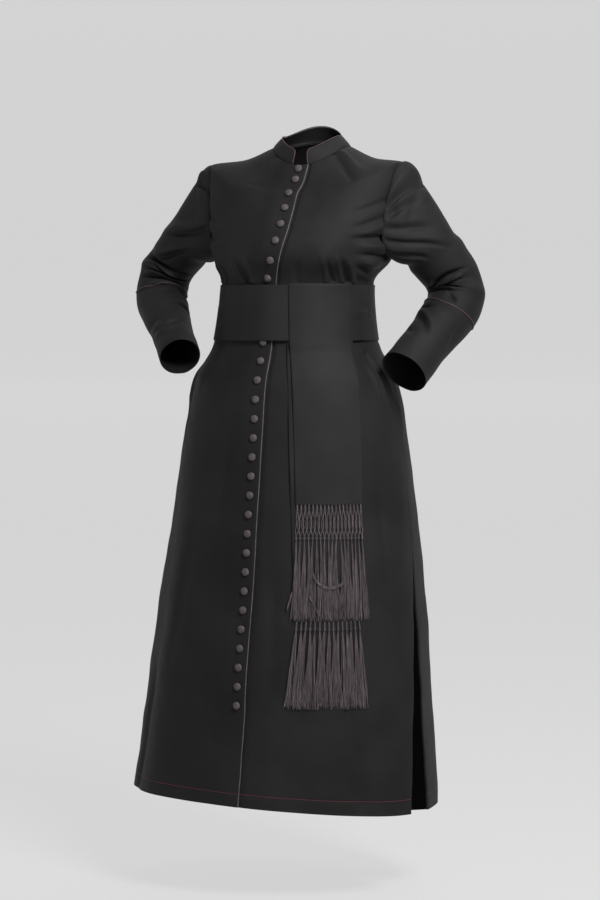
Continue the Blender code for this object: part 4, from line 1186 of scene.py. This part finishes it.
def upperFringe(settings, table):
    dice = random.Random(settings["seed"])
    plies, strands = [], []
    cords, pitch = settings["cords"], 1 / settings["cords"]
    first, parted, second = settings["firstKnot"], settings["parted"], settings["secondKnot"]
    for cord in range(cords):
        share = (cord + 0.5) * pitch
        jitter = dice.uniform(-0.04, 0.04) * pitch
        drops = np.linspace(-0.001, 0.012, 9)
        plies += twistedPair(settings, table, share + jitter * drops / 0.012, drops, settings["lift"],
                             dice.uniform(0, 6), 0.0006)
        for side in (-1, 1):
            inner = min(max(share + side * pitch / 2, 0.2 * pitch), 1 - 0.2 * pitch)
            back = share if 0 < inner < 1 else inner
            drops = np.concatenate([np.linspace(0.011, first, 6), np.linspace(first + 0.005, parted, 4),
                                    np.linspace(parted + 0.004, second, 6)])
            gap = side * -0.0009 / 0.14
            shares = np.concatenate([
                np.linspace(share + jitter + side * 0.1 * pitch, inner + gap, 6),
                np.full(4, inner + gap * 1.5) + dice.uniform(-0.04, 0.04) * pitch,
                inner + (back + dice.uniform(-0.06, 0.06) * pitch - inner) * ease(np.linspace(0.1, 1, 6)),
            ])
            depth = settings["lift"] + 0.0005 * side
            plies.append((fringePoint(settings, table, shares, drops, depth), np.ones(len(drops))))
        if cord < cords - 1:
            beside = share + pitch / 2
            plies.append(knotWrap(settings, table, beside, first + 0.001, settings["lift"], 0.0016))
        plies.append(knotWrap(settings, table, share, second + 0.001, settings["lift"], 0.0017))
        tassel(settings, table, share, second, settings["leans"][cord], dice, strands, settings["lift"])
    # Loose strands have slipped out: one hangs across as a swag, the others slant downwards.
    run = np.linspace(0, 1, 20)
    for startShare, startDrop, endShare, endDrop, sag in settings["loose"]:
        for shift in (0.0, 0.0013, -0.0012, 0.0024, -0.0022):
            drops = startDrop + (endDrop - startDrop) * run + sag * np.sin(np.pi * run ** 0.75) ** 0.8 + shift
            shares = startShare + (endShare - startShare) * run + shift * 2 * np.sin(np.pi * run)
            height = settings["lift"] + 0.0034 + 0.0004 * np.sin(run * 30 + shift * 900)
            strands.append((fringePoint(settings, table, shares, drops, height), 1.15 - 0.5 * run ** 3))
    return plies, strands


def lowerFringe(settings, table):
    dice = random.Random(settings["seed"])
    plies, strands = [], []
    pitch = 1 / settings["cords"]
    for cord in range(settings["cords"]):
        share = (cord + 0.5) * pitch + dice.uniform(-0.05, 0.05) * pitch
        drops = np.linspace(-0.001, settings["root"], 10)
        plies += twistedPair(settings, table, np.full(10, share), drops, settings["lift"],
                             dice.uniform(0, 6), 0.0007)
        plies.append(knotWrap(settings, table, share, settings["root"], settings["lift"], 0.0018))
        tassel(settings, table, share, settings["root"], settings["leans"][cord], dice, strands,
               settings["lift"])
    return plies, strands


def fringePiece(name, settings, table, made, node):
    plies, strands = made
    thin = settings["thread"] / settings["ply"]
    paths = plies + [(points, np.asarray(radii) * thin) for points, radii in strands]
    piece = threadMesh(name, paths, settings["ply"], threads["fringeThread"], [node])
    print(f"  {name}: {len(paths)} threads, {len(piece.data.polygons)} faces")
    return piece


upper = fringePiece("upperFringe", upperSet, fallSet["front"], upperFringe(upperSet, fallSet["front"]),
                    "upper_fringe")
lower = fringePiece("lowerFringe", lowerSet, fallSet["under"], lowerFringe(lowerSet, fallSet["under"]),
                    "lower_fringe")
print("fringes knotted")


# Sleeves
sleeveSets = {
    "right": {
        "side": -1, "corner": (-0.396, 0.079, -0.270), "cuff": (-0.240, -0.118, -0.423), "bend": 0.063,
        "seam": 0.257, "puff": 0.004, "spring": 0.006, "capRise": 0.006, "capLength": 0.032,
        "seamShift": 0.017, "seamLow": 130,
        "radii": [0.053, 0.054, 0.053, 0.053, 0.0495, 0.0420, 0.0420],
        # points along the sleeve in metres and round it in degrees, 0 at the top and 90 at the front
        "creases": [
            ([(0.002, 66), (0.018, 52), (0.036, 36)], 0.0040, -0.0060, 0.3, "start"),
            ([(0.008, 48), (0.020, 36), (0.036, 20)], 0.0070, 0.0036, 0.2, "start"),
            ([(0.012, 98), (0.058, 92), (0.112, 56)], 0.0060, 0.0030, 0.3, "start"),
            ([(0.014, 108), (0.066, 101), (0.120, 66)], 0.0055, -0.0036, 0.3, "start"),
            ([(0.040, 126), (0.122, 112), (0.188, 62)], 0.0060, 0.0030, 0.3, ""),
            ([(0.050, 134), (0.130, 120), (0.186, 74)], 0.0055, -0.0036, 0.3, ""),
            ([(0.196, 58), (0.160, 112), (0.148, 158), (0.152, 200)], 0.0038, -0.0074, 0.4, ""),
            ([(0.204, 60), (0.176, 112), (0.166, 158), (0.166, 200)], 0.0060, 0.0040, 0.2, ""),
            ([(0.212, 70), (0.204, 118), (0.198, 160), (0.190, 205)], 0.0038, -0.0074, 0.4, ""),
            ([(0.222, 72), (0.218, 116), (0.218, 156)], 0.0055, 0.0040, 0.2, ""),
            ([(0.232, 66), (0.236, 106), (0.240, 150), (0.236, 196)], 0.0045, -0.0046, 0.3, ""),
            ([(0.268, 84), (0.280, 124), (0.290, 168)], 0.0050, -0.0040, 0.3, ""),
            ([(0.290, 150), (0.296, 190), (0.290, 236)], 0.0060, -0.0040, 0.2, ""),
            ([(0.322, 120), (0.322, 176), (0.318, 228)], 0.0070, 0.0026, 0.2, ""),
            ([(0.348, 130), (0.352, 182), (0.346, 228)], 0.0060, -0.0034, 0.2, ""),
            ([(0.408, 44), (0.424, 100), (0.408, 168)], 0.0070, -0.0028, 0.3, ""),
            ([(0.424, 40), (0.440, 100), (0.424, 172)], 0.0070, 0.0018, 0.3, ""),
            ([(0.372, 20), (0.384, 60), (0.400, 100)], 0.0080, -0.0018, 0.2, ""),
            ([(0.020, 200), (0.080, 214), (0.140, 232)], 0.0070, -0.0034, 0.3, "start"),
            ([(0.015, 240), (0.070, 252), (0.130, 268)], 0.0080, 0.0026, 0.3, "start"),
            ([(0.010, 300), (0.050, 296), (0.100, 286)], 0.0080, -0.0024, 0.3, "start"),
            ([(0.170, 214), (0.176, 252), (0.190, 286)], 0.0060, -0.0038, 0.3, ""),
            ([(0.210, 210), (0.214, 244), (0.222, 276)], 0.0060, -0.0036, 0.3, ""),
            ([(0.300, 260), (0.340, 276), (0.380, 284)], 0.0080, -0.0020, 0.3, ""),
        ],
    },
    "left": {
        "side": 1, "corner": (0.284, 0.133, -0.291), "cuff": (0.223, -0.054, -0.451), "bend": 0.062,
        "seam": 0.274, "puff": 0.003, "spring": 0.011, "capRise": 0.013, "capLength": 0.038,
        "seamShift": 0.016, "seamLow": 122,
        "radii": [0.056, 0.058, 0.057, 0.057, 0.0535, 0.0480, 0.0500],
        "creases": [
            ([(0.002, 84), (0.022, 62), (0.034, 44), (0.040, 20), (0.040, 2)], 0.0030, -0.0064, 0.4, "both"),
            ([(0.006, 70), (0.020, 46), (0.028, 20), (0.029, -12)], 0.0060, 0.0020, 0.2, "start"),
            ([(0.008, 92), (0.034, 68), (0.052, 44)], 0.0034, -0.0030, 0.3, "start"),
            ([(0.040, 62), (0.052, 36), (0.054, 8)], 0.0070, 0.0015, 0.2, ""),
            ([(0.000, 92), (0.012, 84), (0.026, 74)], 0.0040, -0.0026, 0.3, "start"),
            ([(0.002, 104), (0.036, 88), (0.078, 60)], 0.0046, 0.0013, 0.3, "start"),
            ([(0.004, 110), (0.044, 94), (0.088, 64)], 0.0038, -0.0022, 0.4, "start"),
            ([(0.006, 118), (0.062, 102), (0.104, 76), (0.128, 52)], 0.0050, 0.0014, 0.3, "start"),
            ([(0.008, 126), (0.062, 112), (0.112, 86), (0.138, 58)], 0.0038, -0.0026, 0.4, "start"),
            ([(0.012, 136), (0.056, 126), (0.104, 112)], 0.0050, 0.0013, 0.3, "start"),
            ([(0.012, 146), (0.062, 138), (0.118, 122)], 0.0042, -0.0028, 0.3, "start"),
            ([(0.152, 176), (0.162, 160), (0.170, 140)], 0.0080, 0.0044, 0.0, ""),
            ([(0.192, 206), (0.166, 164), (0.156, 128), (0.166, 98), (0.190, 62)], 0.0034, -0.0098, 0.4, ""),
            ([(0.180, 150), (0.180, 116), (0.192, 84)], 0.0060, 0.0046, 0.2, ""),
            ([(0.212, 200), (0.208, 150), (0.222, 116), (0.234, 78)], 0.0034, -0.0094, 0.4, ""),
            ([(0.226, 170), (0.230, 136), (0.244, 104)], 0.0055, 0.0042, 0.2, ""),
            ([(0.238, 200), (0.240, 150), (0.250, 108)], 0.0034, -0.0076, 0.4, ""),
            ([(0.268, 128), (0.276, 110), (0.280, 92)], 0.0040, -0.0040, 0.3, ""),
            ([(0.306, 196), (0.310, 160), (0.308, 128)], 0.0052, -0.0050, 0.3, ""),
            ([(0.330, 186), (0.344, 152), (0.364, 124), (0.384, 96)], 0.0060, -0.0040, 0.3, ""),
            ([(0.314, 190), (0.326, 156), (0.344, 126), (0.362, 100)], 0.0065, 0.0030, 0.3, ""),
            ([(0.366, 190), (0.378, 160), (0.396, 130)], 0.0070, -0.0026, 0.3, ""),
            ([(0.300, 60), (0.330, 50), (0.370, 40)], 0.0090, -0.0020, 0.3, ""),
            ([(0.018, 206), (0.080, 216), (0.140, 230)], 0.0070, -0.0034, 0.3, "start"),
            ([(0.012, 246), (0.066, 254), (0.126, 270)], 0.0080, 0.0026, 0.3, "start"),
            ([(0.010, 300), (0.050, 296), (0.100, 288)], 0.0080, -0.0022, 0.3, "start"),
            ([(0.176, 222), (0.182, 256), (0.196, 290)], 0.0060, -0.0038, 0.3, ""),
            ([(0.222, 214), (0.226, 246), (0.232, 280)], 0.0060, -0.0036, 0.3, ""),
            ([(0.310, 262), (0.350, 276), (0.386, 284)], 0.0080, -0.0020, 0.3, ""),
        ],
    },
}
# The sleeves' large folds beside the seam.
elbowFolds = [
    # metres along from the seam, degrees round, half length, half spread, rise
    (-0.0755, 100, 0.011, 62, -0.0055), (-0.0495, 80, 0.010, 66, 0.0050), (0.0185, 120, 0.013, 50, -0.0035),
    (-0.1335, 20, 0.020, 50, 0.0040), (0.0615, 160, 0.018, 60, -0.0030), (-0.0585, 280, 0.014, 60, -0.0040),
]
sleeveCut = {"columns": 150, "upperRows": 108, "lowerRows": 90, "blend": 0.120, "step": -0.0004,
             "piping": 0.0010, "creaseDepth": 2.15}
sleeveTuck = [(0.0, -0.0016), (0.0034, -0.0006), (0.0042, -0.0002), (0.0056, 0.0)]


def armholePoint(side, turn):
    # The armhole's edge, from the shoulder tip down the front and up the back.
    down = turn <= math.pi
    share = np.where(down, 1 - turn / math.pi, turn / math.pi - 1)
    climb = ringLevel["shoulderTip"] - ringLevel["armpit"]
    level = ringLevel["armpit"] + climb * (1 - np.cos(math.pi * share)) / 2
    angle = np.where(down, sideAngle(level, "front"), sideAngle(level, "back"))
    return bodyPoint(level, side * angle, 0.0, False)


def armholeMiddle(side):
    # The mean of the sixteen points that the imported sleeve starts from.
    return armholePoint(side, 2 * math.pi * np.arange(16) / 16).mean(axis=0)


def sleevePath(start, settings, run):
    # Place and direction along the sleeve: two straights with a round bend between.
    corner, cuff = Vector(settings["corner"]), Vector(settings["cuff"])
    first, second = (corner - start).normalized(), (cuff - corner).normalized()
    bend = first.angle(second)
    reach = settings["bend"] * math.tan(bend / 2)
    straightRun = (corner - start).length - reach
    arc = settings["bend"] * bend
    if run <= straightRun:
        return start + first * run, first
    if run >= straightRun + arc:
        return corner + second * (reach + run - straightRun - arc), second
    turned = (run - straightRun) / settings["bend"]
    inward = (second - first * first.dot(second)).normalized()
    origin = start + first * straightRun + inward * settings["bend"]
    place = origin - inward * settings["bend"] * math.cos(turned)
    place = place + first * settings["bend"] * math.sin(turned)
    return place, first * math.cos(turned) + inward * math.sin(turned)


def sleeveLength(start, settings):
    corner, cuff = Vector(settings["corner"]), Vector(settings["cuff"])
    bend = (corner - start).angle(cuff - corner)
    reach = settings["bend"] * math.tan(bend / 2)
    return (corner - start).length + (cuff - corner).length - 2 * reach + settings["bend"] * bend


def sleevePoints(settings, runs, turns, upper, extra=0.0, fine=True):
    # Rows of points round the sleeve, one row for each run.
    side = settings["side"]
    start = Vector(armholeMiddle(side))
    length = sleeveLength(start, settings)
    first = sleevePath(start, settings, 0)[1]
    loop = armholePoint(side, turns % (2 * math.pi))
    startArray = np.array(start)
    radii = np.array(settings["radii"])[:, None]
    degrees = np.degrees(turns)
    table = []
    for run in runs:
        place, heading = sleevePath(start, settings, run)
        up = (Vector((0, 0, 1)) - first * first.z).normalized()
        up.rotate(first.rotation_difference(heading))
        front = heading.cross(up) * side
        radius = steadyCurve(radii, np.array([run / length * (len(radii) - 1)]))[0, 0] + extra
        fold = np.zeros(turns.shape)
        for along, middle, halfLength, spread, rise in elbowFolds:
            away = (degrees - middle + 180) % 360 - 180
            reach = (run - settings["seam"] - along) / halfLength
            fold += rise * np.exp(-reach ** 2 - (away / spread) ** 2)
        if fine:
            runArray = np.full(turns.shape, float(run))
            for path, width, rise, lean, held in settings["creases"]:
                places = np.array(path, float)
                origin = places[0, 1]
                points = np.stack([(places[:, 1] - origin) * math.pi / 180 * 0.052, places[:, 0]], 1)
                across = ((degrees - origin + 180) % 360 - 180) * math.pi / 180 * 0.052
                crease = creaseRise(across, runArray, points, width, rise, lean, held)
                fold += sleeveCut["creaseDepth"] * crease
            fold += softWaves(turns * 0.052 * np.sin(turns / 2) ** 2, runArray, 21, 0.07, 0.0010)
        ray = np.outer(np.cos(turns), np.array(up)) + np.outer(np.sin(turns), np.array(front))
        blend = float(ease(np.array(run / sleeveCut["blend"])))
        tube = np.array(place) + ray * radius
        head = loop + (np.array(place) - startArray)
        points = head + (tube - head) * blend
        ahead = max(run, 0.0)
        out = unit(points - np.array(place))
        held = float(ease(np.array(run / 0.02))) if upper else 1.0
        points = points + out * (fold * (0.35 + 0.65 * held))[:, None]
        if upper:
            points[:, 0] += side * sleeveCut["step"] * (1 - blend)
            rounding = math.sin(math.pi * min(ahead / 0.085, 1)) * np.maximum(np.cos(turns), 0)
            points[:, 0] += side * settings["puff"] * rounding
            points[:, 0] += side * settings["spring"] * math.sin(math.pi * min(ahead / 0.12, 1))
            swell = max(math.sin(math.pi * min(ahead / settings["capLength"], 1)), 0) ** 0.6
            cap = settings["capRise"] * swell
            points = points + out * (cap * np.maximum(np.cos(turns - 0.25), 0))[:, None]
        table.append(points)
    return np.array(table)


def sleeveSurface(settings, runs, turns, upper, extra=0.0):
    # The sleeve's rows, bent near the seam so that it lies lower on the inner side.
    length = sleeveLength(Vector(armholeMiddle(settings["side"])), settings)
    reach = settings["seamShift"] + 0.003
    dense = np.arange(max(runs[0] - reach, -0.004), min(runs[-1] + reach, length) + 0.001, 0.0016)
    table = sleevePoints(settings, dense, turns, upper, extra)
    shift = settings["seamShift"] * np.cos(turns - math.radians(settings["seamLow"]))
    points = np.empty((len(runs), len(turns), 3))
    for column in range(len(turns)):
        near = np.exp(-((np.asarray(runs) - settings["seam"]) / 0.05) ** 2)
        bent = np.asarray(runs) + shift[column] * near
        for axis in range(3):
            points[:, column, axis] = np.interp(bent, dense, table[:, column, axis])
    return points


def seamedRuns(start, end, rows, startEdge, endEdge):
    steps, dips = edgedSpread(rows, end - start, startEdge, endEdge)
    return start + steps[0], dips


def makeSleeve(name, settings, part):
    start = Vector(armholeMiddle(settings["side"]))
    length = sleeveLength(start, settings)
    columns = sleeveCut["columns"]
    turns = 2 * math.pi * np.arange(columns + 1) / columns
    turns = -turns if settings["side"] > 0 else turns
    rows = sleeveCut[part + "Rows"]
    if part == "upper":
        runs, dips = seamedRuns(-0.0035, settings["seam"], rows, sleeveTuck, sewnEdge)
    else:
        runs, dips = seamedRuns(settings["seam"], length, rows, sewnEdge, foldedEdge)
    table = sleeveSurface(settings, runs, turns % (2 * math.pi), part == "upper")
    middle = np.array([sleevePath(start, settings, run)[0] for run in runs])
    table = table + np.array([unit(row - centre) * dip for row, centre, dip in zip(table, middle, dips)])

    def shape(column, row):
        back = len(runs) - 1 - row
        return table[back, column], np.stack([column / columns * 0.33, -runs[back]], 1)

    side = "Right" if settings["side"] < 0 else "Left"
    node = f"sleeve_{name}_{part}"
    return makeCloth(f"sleeve{side}{part.capitalize()}", columns, len(runs) - 1, shape, bodySet["cloth"],
                     bodyCloth, [node], closed=True)


for name, settings in sleeveSets.items():
    for part in ("upper", "lower"):
        makeSleeve(name, settings, part)
    turns = 2 * math.pi * np.arange(96) / 96
    cord = sleeveSurface(settings, [settings["seam"]], turns, False, sleeveCut["piping"] - 0.0001)[0]
    threadMesh(f"sleevePiping{name.capitalize()}", [(cord, 1.0)], sleeveCut["piping"], threads["winePiping"],
               [f"sleeve_{name}_piping"], closed=True, sides=2)
print("sleeves set in")


# Stitches above the hem
stitchSet = {"long": 0.0036, "pitch": 0.0046, "thread": 0.00048}


def hemStitches():
    level = levelOfLength(np.array([bodySet["hemStitch"]]))
    width = float(widthAt(level)[0])
    stitches = []
    front = float(sideAngle(level, "front")[0])
    back = float(sideAngle(level, "back")[0])
    for start, end in ((-front, front), (back, 2 * math.pi - back)):
        count = int((end - start) * width / stitchSet["pitch"])
        for number in range(1, count):
            angle = start + (end - start) * number / count
            half = stitchSet["long"] / width / 2
            angles = angle + np.array([-half, -half * 0.6, 0, half * 0.6, half])
            levels = np.full(5, level[0])
            lap = np.where(angles < bodySet["lapOver"] / width, lapLift(levels, angles), 0.0)
            lap = np.where(np.abs(wrapped(angles)) > math.pi / 2, 0.0, lap)
            lift = lap + hemDip(levels) + np.array([-0.0003, 0.0001, 0.00022, 0.0001, -0.0003])
            stitches.append((bodyPoint(levels, angles, lift), 1.0))
    return stitches


hemLine = threadMesh("hemStitches", hemStitches(), stitchSet["thread"], threads["wineThread"], [])
print("hem stitched")
